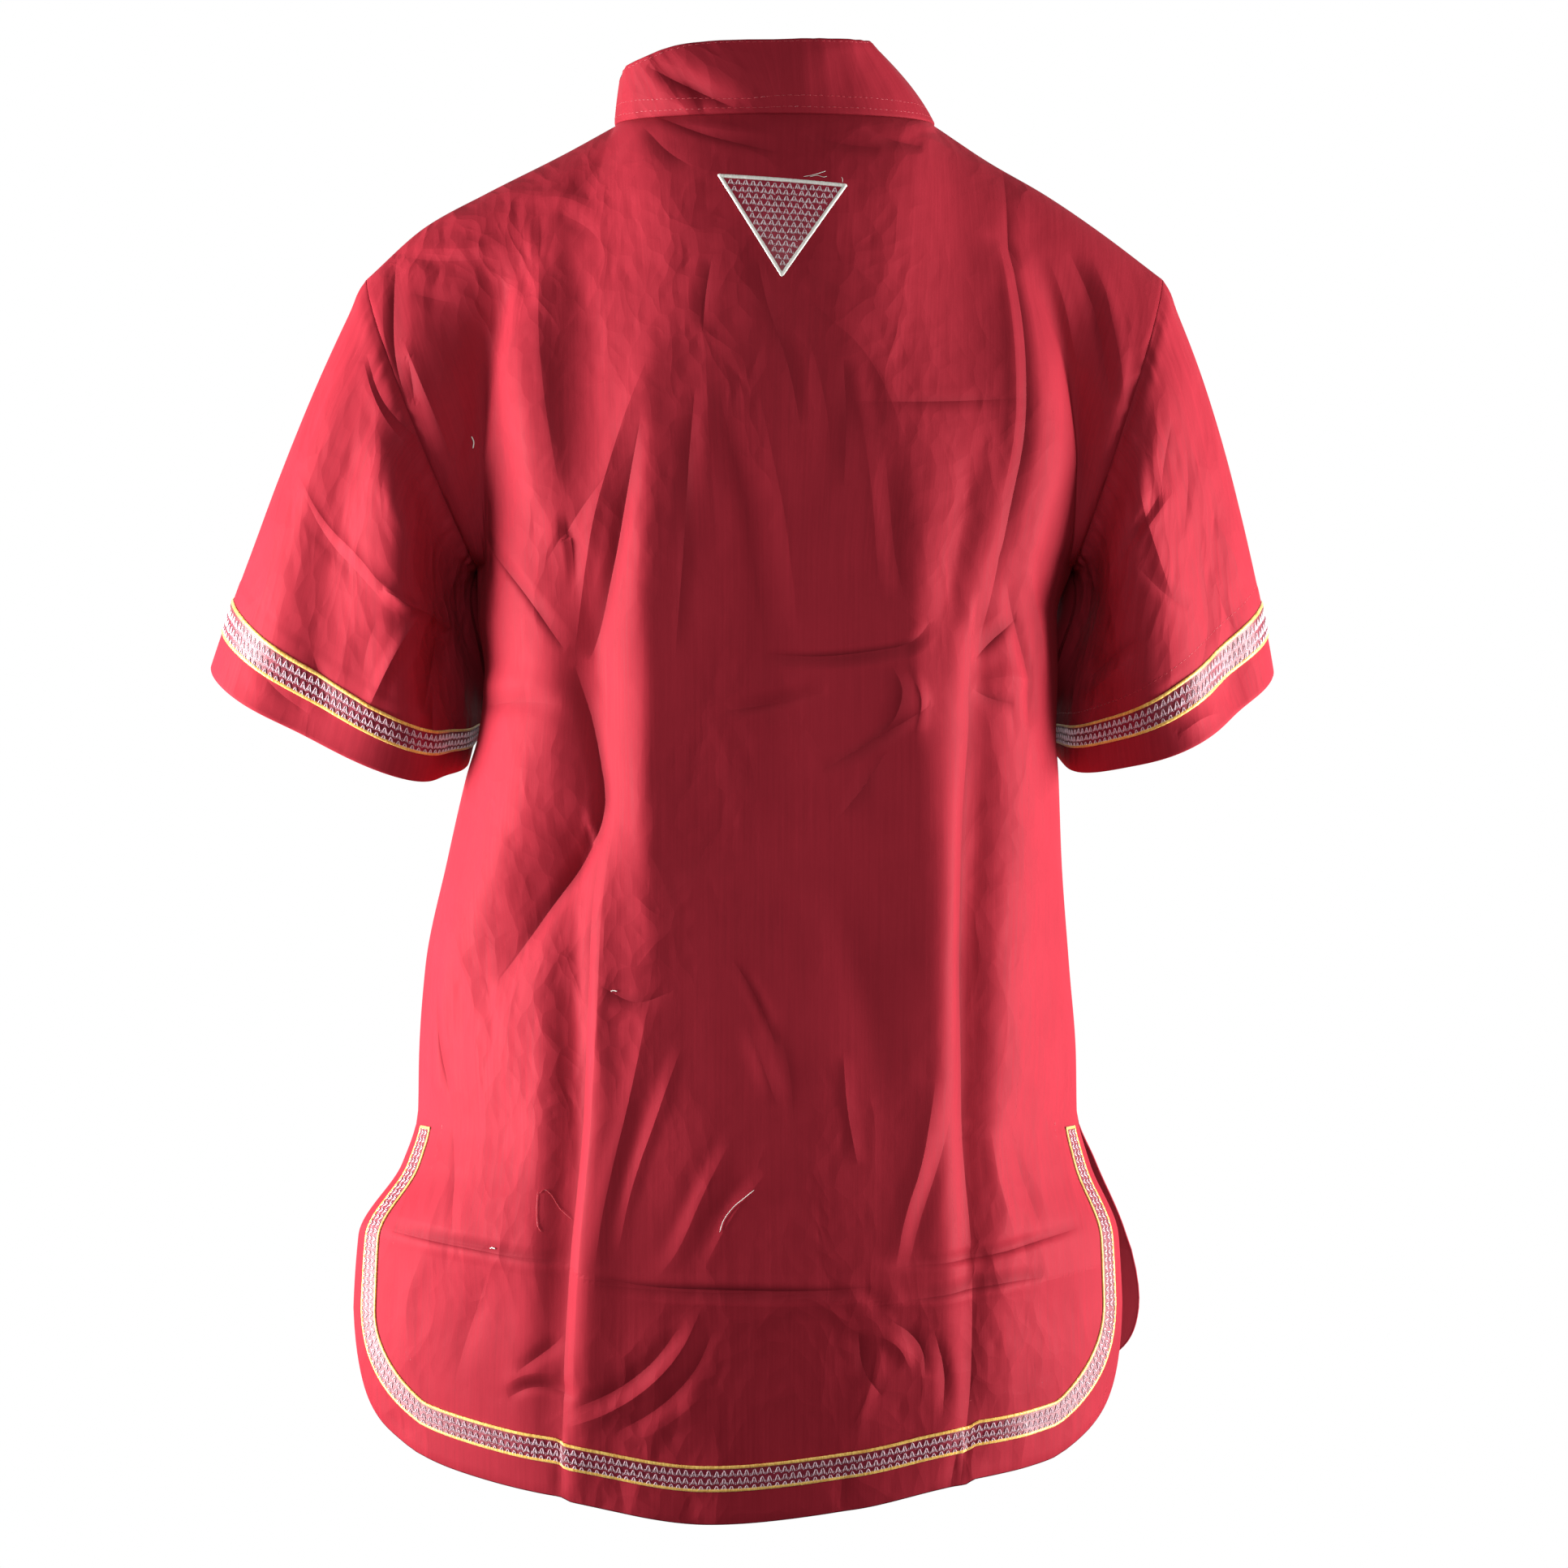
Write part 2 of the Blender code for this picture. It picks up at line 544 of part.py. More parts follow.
def sleeve(side, back_grid, back_patch, front_grid, front_patch):
    """Tube from the armhole, which is the panels' own edge, to the cuff."""
    column = -1 if side == LEFT else 0
    back_edge = [back_patch.points[k] for k in back_grid[:YOKE_ROWS + 1, column]]
    front_edge = [front_patch.points[k] for k in front_grid[:YOKE_ROWS + 1, column]]
    armhole = np.array(back_edge + front_edge[-2:0:-1])
    count = len(armhole)
    turn = np.arange(count) / count * 2 * math.pi

    size = SLEEVES[side]
    slope = math.radians(size["slope"])
    plan = math.radians(size["plan"])
    out = np.array([side * math.cos(slope) * math.cos(plan), math.sin(plan), math.sin(slope)])
    aft = np.array([-side * math.sin(plan), math.cos(plan), 0.0]) * size["depth"]
    aft[2] = -size["drop"]
    cuff = np.array(size["cuff"]) + np.cos(turn)[:, None] * size["breadth"] * out
    cuff = cuff + np.sin(turn)[:, None] * aft

    chord = np.linalg.norm(cuff - armhole, axis=1)[:, None]
    lower = ((1 - np.cos(turn)) / 2)[:, None]
    lean_top = math.radians(size["lean_top"])
    lean_cuff = math.radians(size["lean_cuff"])
    over = np.array([side * math.sin(lean_top), 0.0, -math.cos(lean_top)])
    under = np.array([side * UNDERARM_LEAVE[0], 0.0, UNDERARM_LEAVE[1]])
    leave = (over * (1 - lower) + under * lower) * chord
    leave = leave + triple(0.0, np.sin(turn) * 0.05, 0.0)
    arrive = np.array([side * math.sin(lean_cuff), -0.15, -math.cos(lean_cuff)]) * chord

    span = float(np.mean(chord))
    trim = [1.0 - CUFF_TRIM_INSET / span, 1.0 - (CUFF_TRIM_INSET + CUFF_TRIM_WIDTH) / span]
    share = np.concatenate((np.linspace(0.0, trim[1], SLEEVE_ROWS - 1), [trim[0], 1.0]))
    t = share[:, None, None]
    tube = hermite(armhole[None], cuff[None], leave[None], arrive[None], t)

    fade = ease(share / 0.15)[:, None]
    axis = tube.mean(axis=1, keepdims=True)
    outward = tube - axis
    radius = np.linalg.norm(outward, axis=-1, keepdims=True)
    outward /= radius
    degrees = np.degrees(turn)
    for (turn_a, share_a), (turn_b, share_b), width, rise in SLEEVE_FOLDS[side]:
        run = np.clip((share - share_a) / (share_b - share_a), 0.0, 1.0)
        line = turn_a + (turn_b - turn_a) * run
        away = np.radians(degrees[None] - line[:, None]) * radius[..., 0]
        beyond = (share - np.clip(share, share_a, share_b)) * span
        bell = np.exp(-(away / width) ** 2 - (beyond[:, None] / width) ** 2)
        tube = tube + outward * (rise * bell * fade)[..., None]

    patch = Patch()
    tube[0] = armhole
    grid = patch.add(tube)
    closed = np.concatenate((grid, grid[:, :1]), axis=1)
    if side == RIGHT:
        closed = closed[:, ::-1]
    patch.fill(closed[:, ::-1])
    return patch, closed[:, ::-1]


def collar(back_grid, back_patch, front_grid, front_patch):
    """Band that stands on the neckline, open in the middle of the front."""
    middle = back_grid.shape[1] // 2
    span = range(middle - NECK_COLUMNS, middle + NECK_COLUMNS + 1)
    back_edge = [back_patch.points[back_grid[0][k]] for k in reversed(span)]
    front_edge = [front_patch.points[front_grid[0][k]] for k in span]
    slit_left, slit_right = front_patch.slit[0]
    half = NECK_COLUMNS
    right_front = front_edge[1:half] + [front_patch.points[slit_right]]
    left_front = [front_patch.points[slit_left]] + front_edge[half + 1:-1]
    foot = np.array(left_front + back_edge + right_front)

    count = len(foot)
    turn = np.linspace(-90.0, 270.0, count)
    angle = np.radians(turn)
    x = COLLAR_CENTRE[0] + COLLAR_HALF[0] * np.cos(angle)
    y = COLLAR_CENTRE[1] + COLLAR_HALF[1] * np.sin(angle)
    centre_front = np.abs(turn - 90.0) / 180.0
    x = x + np.where(turn < 90.0, 1.0, -1.0) * COLLAR_SPREAD * ease((centre_front - 0.9) / 0.1)
    x = x - COLLAR_CENTRE[0] * ease((centre_front - 0.55) / 0.45)
    top = triple(x, y, follow(turn, COLLAR_TOP, 1))
    t = np.linspace(0.0, 1.0, COLLAR_ROWS + 1)[:, None, None]
    rise = top - foot
    leave = rise * np.array([0.7, 0.7, 1.1])
    arrive = rise * np.array([1.2, 1.2, 0.9])
    band = hermite(foot[None], top[None], leave[None], arrive[None], t)
    patch = Patch()
    patch.fill(patch.add(band))
    return patch


# ---------------------------------------------------------------- from patches to solids

def weld_normals(patches):
    """Outward directions at every point, shared by patches that meet there."""
    shared = {}
    for patch in patches:
        points = np.array(patch.points)
        for face in patch.faces:
            a, b, c, d = (points[k] for k in face)
            normal = np.cross(c - a, d - b)
            for k in face:
                key = tuple(np.round(points[k], 6))
                shared[key] = shared.get(key, 0.0) + normal
    for patch in patches:
        normals = []
        for point in patch.points:
            normal = shared.get(tuple(np.round(point, 6)), np.array([0.0, 0.0, 1.0]))
            normals.append(normal / (np.linalg.norm(normal) + 1e-12))
        patch.normals = np.array(normals)


def pull_back(patch, faces, distance):
    """Moves the open edge of some faces inwards along the cloth."""
    points = np.array(patch.points)
    edges = {}
    for face in faces:
        for a, b in zip(face, face[1:] + face[:1]):
            if (b, a) in edges:
                del edges[(b, a)]
            else:
                edges[(a, b)] = True
    inward = {}
    for a, b in edges:
        way = points[b] - points[a]
        for k in (a, b):
            step = np.cross(patch.normals[k], way)
            step /= np.linalg.norm(step) + 1e-12
            inward.setdefault(k, []).append(step)
    for k, steps in inward.items():
        mean = sum(steps) / len(steps)
        points[k] += mean / max(float(mean @ steps[0]), 0.5) * distance
    return points, list(edges)


def split(face, points):
    """Two triangles along the shorter diagonal, so that both sides of a wall bend alike."""
    if len(face) == 3:
        return [face]
    a, b, c, d = face
    if math.dist(points[a], points[c]) <= math.dist(points[b], points[d]):
        return [(a, b, c), (a, c, d)]
    return [(a, b, d), (b, c, d)]


def solid(name, patch, faces, thickness, lift, distance, finish):
    """A wall of even thickness: its middle lies lift outside the patch."""
    faces = [tuple(int(k) for k in face) for face in faces]
    points, edges = pull_back(patch, faces, distance)
    used = sorted({k for face in faces for k in face})
    number = {k: i for i, k in enumerate(used)}
    outer = [points[k] + patch.normals[k] * (lift + thickness / 2) for k in used]
    inner = [points[k] + patch.normals[k] * (lift - thickness / 2) for k in used]
    count = len(used)
    polygons = []
    for face in faces:
        for a, b, c in split(face, patch.points):
            polygons.append((number[a], number[b], number[c]))
            polygons.append((number[c] + count, number[b] + count, number[a] + count))
    for a, b in edges:
        # the rim's two triangles are split the same way on both sides of a seam
        first, second = number[a], number[b]
        if tuple(patch.points[a]) < tuple(patch.points[b]):
            polygons.append((second, first, second + count))
            polygons.append((first, first + count, second + count))
        else:
            polygons.append((second, first, first + count))
            polygons.append((second, first + count, second + count))
    mesh = bpy.data.meshes.new(name)
    mesh.from_pydata([tuple(p) for p in outer + inner], [], polygons)
    mesh.validate()
    mesh.shade_smooth()
    mesh.set_sharp_from_angle(angle=math.radians(55.0))
    mesh.materials.append(material(finish))
    piece = bpy.data.objects.new(name, mesh)
    bpy.context.collection.objects.link(piece)
    return piece


def material(name):
    """The named finish, made once."""
    if name in bpy.data.materials:
        return bpy.data.materials[name]
    made = bpy.data.materials.new(name)
    made.use_nodes = True
    shader = made.node_tree.nodes["Principled BSDF"]
    colour, roughness = FINISH[name]
    shader.inputs["Base Color"].default_value = (*colour, 1.0)
    shader.inputs["Roughness"].default_value = roughness
    shader.inputs["Metallic"].default_value = 0.0
    return made


def strip(ring_a, ring_b, first, last):
    """Faces between two rings of a patch, between two places along them."""
    faces = []
    for k in range(first, last):
        faces.append((ring_a[k], ring_a[k + 1], ring_b[k + 1], ring_b[k]))
    return faces


def turned(faces):
    """The same faces seen from their other side."""
    return [tuple(reversed(face)) for face in faces]


def neck_triangle(back):
    """Embroidered patch laid on the back panel's outer face."""
    tree = BVHTree.FromPolygons([v.co for v in back.data.vertices],
                                [tuple(p.vertices) for p in back.data.polygons])
    a, b, c = (np.array(corner) for corner in TRIANGLE)
    patch = Patch()
    rows = []
    for row in range(TRIANGLE_STEPS + 1):
        down = row / TRIANGLE_STEPS
        start = a + (c - a) * down
        end = b + (c - b) * down
        line = []
        for k in range(TRIANGLE_STEPS - row + 1):
            across = k / max(TRIANGLE_STEPS - row, 1)
            x, z = start + (end - start) * across
            hit = tree.ray_cast(Vector((x, 1.0, z)), Vector((0.0, -1.0, 0.0)))
            line.append(np.array(hit[0]))
        rows.append(patch.add(np.array(line)))
    for upper, under in zip(rows, rows[1:]):
        for k in range(len(under)):
            patch.faces.append((upper[k], upper[k + 1], under[k]))
            if k + 1 < len(under):
                patch.faces.append((upper[k + 1], under[k + 1], under[k]))
    points = np.array(patch.points)
    normals = np.zeros_like(points)
    for face in patch.faces:
        p, q, r = (points[k] for k in face)
        normals[list(face)] += np.cross(q - p, r - p)
    if normals[:, 1].sum() < 0:
        patch.faces = turned(patch.faces)
        normals = -normals
    patch.normals = normals / np.linalg.norm(normals, axis=1, keepdims=True)
    lift = 2 * TRIM_LIFT + TRIM / 2
    return solid("neck_triangle", patch, patch.faces, TRIM, lift, 0.0, "trim_embroidery")


def build():
    for old in list(bpy.data.objects):
        bpy.data.objects.remove(old, do_unlink=True)

    back, back_grid, back_rings = panel(BACK)
    front, front_grid, front_rings = panel(FRONT)
    # the slit's right-hand faces use the copies of the middle points
    middle = front_grid.shape[1] // 2
    copies = dict(front.slit)
    right_numbers = set(front_grid[:NECK_SLIT_ROWS + 1, middle - 1])
    front.faces = [
        tuple(copies.get(k, k) for k in face) if right_numbers & set(face) else face
        for face in front.faces
    ]
    front.faces = turned(front.faces)
    arms = {side: sleeve(side, back_grid, back, front_grid, front) for side in (LEFT, RIGHT)}
    neck = collar(back_grid, back, front_grid, front)
    weld_normals([back, front, neck, arms[LEFT][0], arms[RIGHT][0]])

    half_gap = SEAM_GAP / 2
    back_piece = solid("back_panel", back, back.faces, CLOTH, 0.0, half_gap, "cloth_red")
    solid("front_panel", front, front.faces, CLOTH, 0.0, half_gap, "cloth_red")
    solid("collar_band", neck, neck.faces, COLLAR_CLOTH, 0.0, half_gap, "cloth_red")
    trim_out = CLOTH / 2 + TRIM_LIFT + TRIM / 2
    for side, word in ((LEFT, "left"), (RIGHT, "right")):
        patch, grid = arms[side]
        solid("sleeve_" + word, patch, patch.faces, CLOTH, 0.0, half_gap, "cloth_red")
        faces = strip(grid[-3], grid[-2], 0, grid.shape[1] - 1)
        solid("cuff_band_" + word, patch, faces, TRIM, trim_out, 0.0, "trim_embroidery")
    for name, patch, rings in (("back", back, back_rings), ("front", front, front_rings)):
        faces = strip(rings[2], rings[1], 1, len(rings[1]) - 2)
        faces = turned(faces) if name == "front" else faces
        solid("hem_band_" + name, patch, faces, TRIM, trim_out, 0.0, "trim_embroidery")

    placket = [face for face in front.faces if on_placket(face, front_grid, front, middle)]
    solid("neck_placket", front, placket, TRIM, trim_out, half_gap, "cloth_red")
    neck_triangle(back_piece)


def on_placket(face, grid, patch, middle):
    """True for the faces beside the neck slit and just under its foot."""
    rows = slice(0, NECK_SLIT_ROWS + 2)
    near = set(grid[rows, middle - 1:middle + 2].ravel())
    near |= {copy for _, copy in patch.slit}
    return set(face) <= near


if __name__ == "__main__":
    build()
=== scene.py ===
"""Looks of the dashiki shirt: creased cloth, embroidered trims, stitches and loose threads.

Metres, in the frame of the solids: the front faces -Y, the wearer's left is +X, +Z is up. The
pieces are thin shells on the same surfaces as the solids, with more folds.
"""
import math

import bpy
import numpy as np
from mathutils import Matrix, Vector
from mathutils.bvhtree import BVHTree


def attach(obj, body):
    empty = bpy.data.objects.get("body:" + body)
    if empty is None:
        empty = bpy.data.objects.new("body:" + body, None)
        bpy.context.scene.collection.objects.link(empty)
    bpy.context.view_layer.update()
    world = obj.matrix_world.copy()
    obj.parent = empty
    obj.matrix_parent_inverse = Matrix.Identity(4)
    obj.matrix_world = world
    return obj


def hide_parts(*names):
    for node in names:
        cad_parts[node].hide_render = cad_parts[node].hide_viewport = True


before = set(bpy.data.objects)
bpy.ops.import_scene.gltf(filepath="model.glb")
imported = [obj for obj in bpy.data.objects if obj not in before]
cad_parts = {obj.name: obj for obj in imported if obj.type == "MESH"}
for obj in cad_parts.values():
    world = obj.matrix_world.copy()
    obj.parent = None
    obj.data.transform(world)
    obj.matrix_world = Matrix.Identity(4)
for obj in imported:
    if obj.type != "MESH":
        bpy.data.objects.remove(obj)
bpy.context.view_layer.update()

BACK = 1
FRONT = -1
LEFT = 1
RIGHT = -1

# ---------------------------------------------------------------- sizes shared with the solids

MM = 0.001
UNDERARM = -0.255         # heights
SLIT_TOP = -0.570
HEM_LEVEL = -0.770
SIDE_FRACTION = 0.155     # share of a half panel that its edge rings take
TRIM_WIDTH = 0.0145
TRIM_START = 0.008        # from the top of the slit to the trim
CORNER_SIZE = 0.060       # how far the hem's rounded corners reach
SQUARENESS = 2.35         # of the body's cross section, 2 is an ellipse

# columns: inset from the slit edge, inset from the hem, sharpness of the rounded corner
EDGE_RINGS = (
    (0.0000, 0.0000, 1.9),
    (0.0095, 0.0185, 1.1),
    (0.0095 + TRIM_WIDTH, 0.0185 + TRIM_WIDTH, 0.9),
    (0.0400, 0.0490, 0.8),
)
# Shoulder seams. columns: distance from the centre, height
SHOULDER = {
    LEFT: (
        (0.0917, 0.0000), (0.1213, -0.0163), (0.1678, -0.0398), (0.2021, -0.0586),
        (0.2364, -0.0891),
    ),
    RIGHT: (
        (0.0917, 0.0000), (0.1231, -0.0210), (0.1556, -0.0398), (0.1870, -0.0610),
        (0.2242, -0.0891),
    ),
}
# Neckline: how far it goes back or forward of the origin, and how far it drops
NECK_REACH = {BACK: 0.065, FRONT: 0.075}
NECK_DROP = {BACK: 0.003, FRONT: 0.065}
NECK_SLIT_WIDTH = 0.003

# Cross sections of the body. columns: height, half breadth to the left, half breadth to the right,
# reach from the side seams to the middle of the panel, reach of the panel's edge, and the turn of
# the panel's edge away from its middle in degrees
BODY = {
    BACK: (
        (-0.255, 0.1720, 0.1720, 0.122, 0.000, 90.0),
        (-0.285, 0.1712, 0.1625, 0.120, 0.000, 90.0),
        (-0.317, 0.1672, 0.1630, 0.117, 0.000, 90.0),
        (-0.350, 0.1705, 0.1620, 0.114, 0.000, 90.0),
        (-0.378, 0.1786, 0.1638, 0.112, 0.000, 88.0),
        (-0.425, 0.1894, 0.1656, 0.110, 0.000, 84.0),
        (-0.486, 0.2021, 0.1700, 0.114, 0.000, 76.0),
        (-0.538, 0.2059, 0.1740, 0.120, 0.000, 69.0),
        (-0.570, 0.2065, 0.1745, 0.124, 0.000, 62.0),
        (-0.600, 0.2150, 0.1815, 0.126, 0.006, 56.0),
        (-0.641, 0.2397, 0.1976, 0.128, 0.014, 52.0),
        (-0.690, 0.2421, 0.1995, 0.128, 0.020, 50.0),
        (-0.745, 0.2360, 0.1945, 0.124, 0.024, 50.0),
        (-0.800, 0.2310, 0.1900, 0.120, 0.026, 50.0),
    ),
    FRONT: (
        (-0.255, 0.1720, 0.1720, 0.122, 0.000, 90.0),
        (-0.285, 0.1712, 0.1625, 0.122, 0.000, 90.0),
        (-0.317, 0.1672, 0.1630, 0.121, 0.000, 90.0),
        (-0.350, 0.1705, 0.1620, 0.120, 0.000, 90.0),
        (-0.378, 0.1786, 0.1638, 0.119, 0.000, 88.0),
        (-0.425, 0.1894, 0.1656, 0.119, 0.000, 84.0),
        (-0.486, 0.2021, 0.1700, 0.121, 0.000, 76.0),
        (-0.538, 0.2059, 0.1740, 0.124, 0.000, 69.0),
        (-0.570, 0.2065, 0.1745, 0.125, 0.000, 62.0),
        (-0.600, 0.2090, 0.1860, 0.127, 0.008, 56.0),
        (-0.641, 0.2190, 0.2040, 0.129, 0.020, 52.0),
        (-0.690, 0.2250, 0.2170, 0.130, 0.030, 50.0),
        (-0.745, 0.2230, 0.2120, 0.128, 0.034, 50.0),
        (-0.800, 0.2200, 0.2080, 0.126, 0.036, 50.0),
    ),
}

# Lower edge of the panels. columns: place across (left is +), height
HEM = {
    BACK: (
        (-0.1950, -0.7360), (-0.1855, -0.7440), (-0.1690, -0.7555), (-0.1500, -0.7620),
        (-0.1006, -0.7690), (-0.0447, -0.7811), (0.0380, -0.7896), (0.1150, -0.7788),
        (0.1810, -0.7660), (0.2104, -0.7552), (0.2360, -0.7400),
    ),
    FRONT: (
        (-0.2120, -0.7120), (-0.1800, -0.7290), (-0.1300, -0.7450), (-0.0600, -0.7580),
        (0.0200, -0.7620), (0.1000, -0.7560), (0.1700, -0.7420), (0.2230, -0.7180),
    ),
}

# Height of the hem's corners. columns: side, height
HEM_ENDS = {
    BACK: ((RIGHT, -0.7390), (LEFT, -0.7420)),
    FRONT: ((RIGHT, -0.7130), (LEFT, -0.7190)),
}

# Directions in which the cloth leaves the shoulder seam and the neckline: outwards, up
SHOULDER_LEAVE = (0.92, -0.22)
NECK_LEAVE = (0.80, -0.55)

# Armholes: how far they reach to the back and to the front of the shoulder tip, how they leave the
# tip (inwards, up), and the share of a half panel at which the cloth starts to follow them
ARMHOLE_REACH = {BACK: 0.056, FRONT: 0.050}
ARMHOLE_LEAVE = (0.020, -0.100)
ARMHOLE_SHARE = 0.68

# Sleeves: the cuff's middle, half its breadth and depth, how far its back hangs below its sides;
# in degrees, the cuff's slope, its turn seen from above, and the lean of the arm at both ends
SLEEVES = {
    LEFT: {
        "cuff": (0.2545, -0.026, -0.3405), "breadth": 0.0785, "depth": 0.058, "drop": 0.025,
        "slope": 17.8, "plan": 14.0, "lean_top": 27.0, "lean_cuff": 19.0,
    },
    RIGHT: {
        "cuff": (-0.2305, -0.026, -0.3415), "breadth": 0.0640, "depth": 0.065, "drop": 0.025,
        "slope": 19.8, "plan": 14.0, "lean_top": 25.0, "lean_cuff": 10.0,
    },
}
UNDERARM_LEAVE = (0.66, -0.30)    # how the sleeve leaves the foot of the armhole: outwards, up
CUFF_TRIM_INSET = 0.0165          # from the cuff's edge to the trim

# Collar's top edge: centre x and y, half breadth, reach forward and back
COLLAR_CENTRE = (0.0158, -0.0035)
COLLAR_HALF = (0.0728, 0.0585)
COLLAR_SPREAD = 0.003     # how far its ends part at the top
# columns: turn from the wearer's left towards the back in degrees, height of the top edge
COLLAR_TOP = (
    (-90.0, -0.0200), (-45.0, 0.0000), (0.0, 0.0275), (25.0, 0.0292), (46.0, 0.0317),
    (73.0, 0.0380), (98.0, 0.0413), (145.0, 0.0428), (180.0, 0.0445), (225.0, 0.0060),
    (270.0, -0.0200),
)

# Corners of the embroidered triangle under the back neck. columns: x, z
TRIANGLE = ((0.0323, -0.0413), (-0.0409, -0.0472), (-0.0040, -0.1020))

# Large folds, each along a line of (distance across the cloth from the centre, height).
# columns: line, half width, rise at the line, swing (+ lifts the left side and sinks the right)
FOLD_END = 0.12           # how much of a fold's rise is left at its ends
LEFT_ARMPIT = ((0.150, -0.085), (0.184, -0.130), (0.205, -0.190), (0.215, -0.250))
RIGHT_ARMPIT = ((-0.184, -0.130), (-0.208, -0.190), (-0.216, -0.240))
FOLDS = {
    BACK: (
        (LEFT_ARMPIT, 0.022, -0.012, 0.0),
        (((-0.150, -0.080),) + RIGHT_ARMPIT, 0.022, -0.012, 0.0),
        (((0.134, -0.090), (0.128, -0.160), (0.122, -0.230)), 0.022, 0.006, 0.004),
        (((-0.128, -0.100), (-0.140, -0.160), (-0.150, -0.260)), 0.020, 0.007, 0.0),
        (((0.066, -0.150), (0.068, -0.300), (0.070, -0.540)), 0.022, 0.006, 0.0),
        (((-0.078, -0.190), (-0.082, -0.360), (-0.082, -0.640)), 0.022, 0.006, 0.0),
        (((0.120, -0.240), (0.104, -0.330), (0.100, -0.400)), 0.018, -0.008, 0.0),
        (((0.100, -0.400), (0.140, -0.450), (0.175, -0.500)), 0.022, -0.009, 0.0),
        (((0.110, -0.420), (0.108, -0.560), (0.118, -0.740)), 0.014, -0.005, -0.004),
        (((-0.112, -0.300), (-0.104, -0.480), (-0.108, -0.740)), 0.014, -0.005, 0.004),
        (((0.010, -0.200), (0.004, -0.300), (0.000, -0.420)), 0.030, -0.005, 0.0),
        (((-0.160, -0.300), (-0.150, -0.420), (-0.150, -0.560)), 0.022, 0.005, 0.0),
    ),
    FRONT: (
        (LEFT_ARMPIT, 0.022, -0.010, 0.0),
        (((-0.150, -0.085),) + RIGHT_ARMPIT, 0.022, -0.010, 0.0),
        (((0.110, -0.160), (0.102, -0.360), (0.112, -0.720)), 0.026, 0.009, 0.0),
        (((-0.104, -0.170), (-0.110, -0.400), (-0.104, -0.720)), 0.026, 0.009, 0.0),
        (((0.056, -0.230), (0.050, -0.420), (0.054, -0.740)), 0.022, -0.007, 0.0),
        (((-0.050, -0.260), (-0.058, -0.480), (-0.050, -0.740)), 0.022, -0.007, 0.0),
        (((0.170, -0.300), (0.150, -0.420), (0.160, -0.640)), 0.022, -0.007, 0.0),
        (((-0.170, -0.290), (-0.152, -0.420), (-0.156, -0.600)), 0.022, -0.007, 0.0),
    ),
}

# Folds of the sleeves. columns: turn round the arm in degrees (0 is outside, 90 is the back) and
# share of the way down, at both ends; half width in metres; rise
SLEEVE_FOLDS = {
    LEFT: (
        ((103.0, 0.26), (108.0, 1.00), 0.025, 0.015),
        ((60.0, 0.30), (62.0, 0.95), 0.022, -0.005),
        ((250.0, 0.15), (262.0, 0.70), 0.018, -0.006),
        ((40.0, 0.30), (52.0, 0.80), 0.022, 0.004),
        ((206.0, 0.32), (200.0, 0.80), 0.024, 0.015),
    ),
    RIGHT: (
        ((122.0, 0.25), (72.0, 1.00), 0.026, 0.013),
        ((62.0, 0.30), (40.0, 0.90), 0.020, -0.004),
        ((246.0, 0.15), (258.0, 0.75), 0.018, -0.006),
        ((30.0, 0.35), (36.0, 0.90), 0.022, -0.004),
        ((206.0, 0.30), (200.0, 0.85), 0.026, 0.021),
    ),
}

# Cloth at the front under the arm, which hangs in towards the body. columns: degrees round, reach
# in degrees, shares of the way down where it starts, is full and has gone, fullness
SLEEVE_FULLNESS = {
    LEFT: ((218.0, 26.0, 0.25, 0.50, 0.95, 0.016), (204.0, 24.0, 0.00, 0.14, 0.75, 0.011)),
    RIGHT: ((218.0, 26.0, 0.25, 0.50, 1.30, 0.018), (204.0, 24.0, 0.00, 0.14, 0.75, 0.012)),
}

# Line along which the hem was pressed up. columns: place across the cloth, height
HEM_PRESS = (
    (-0.260, -0.652), (-0.160, -0.660), (-0.080, -0.668), (0.000, -0.662),
    (0.060, -0.660), (0.100, -0.655), (0.120, -0.647), (0.250, -0.634),
)
HEM_TILT = (0.22, 0.08, 0.060)    # slope just below the line, slope at the hem, reach
# Small steps of the hem at the press creases. columns: place, breadth, length of its end, size
HEM_JOGS = ((-0.108, 0.006, 0.030, -0.0022), (0.116, 0.008, 0.035, 0.0018))

# ---------------------------------------------------------------- creases

def creases(text):
    """Rows of a table of creases: half width, rise, swing, sharpness and line."""
    rows = []
    for row in text.strip().splitlines():
        _, numbers, line = row.split("|")
        places = [tuple(float(x) for x in place.split(",")) for place in line.split()]
        rows.append((*(float(x) for x in numbers.split()), places))
    return rows


def mirrored(rows, shift):
    """Creases on the other side of the cloth's centre, a little lower and softer."""
    return [
        (width * 1.15, rise * 0.8, -swing, power, [(-a, b + shift) for a, b in line])
        for width, rise, swing, power, line in rows
    ]


def quiet_front(crease):
    """True where the front has room for the crease: away from its neck slit and its hem."""
    return all((abs(a) > 34 or b < -215) and b > -700 for a, b in crease[4])


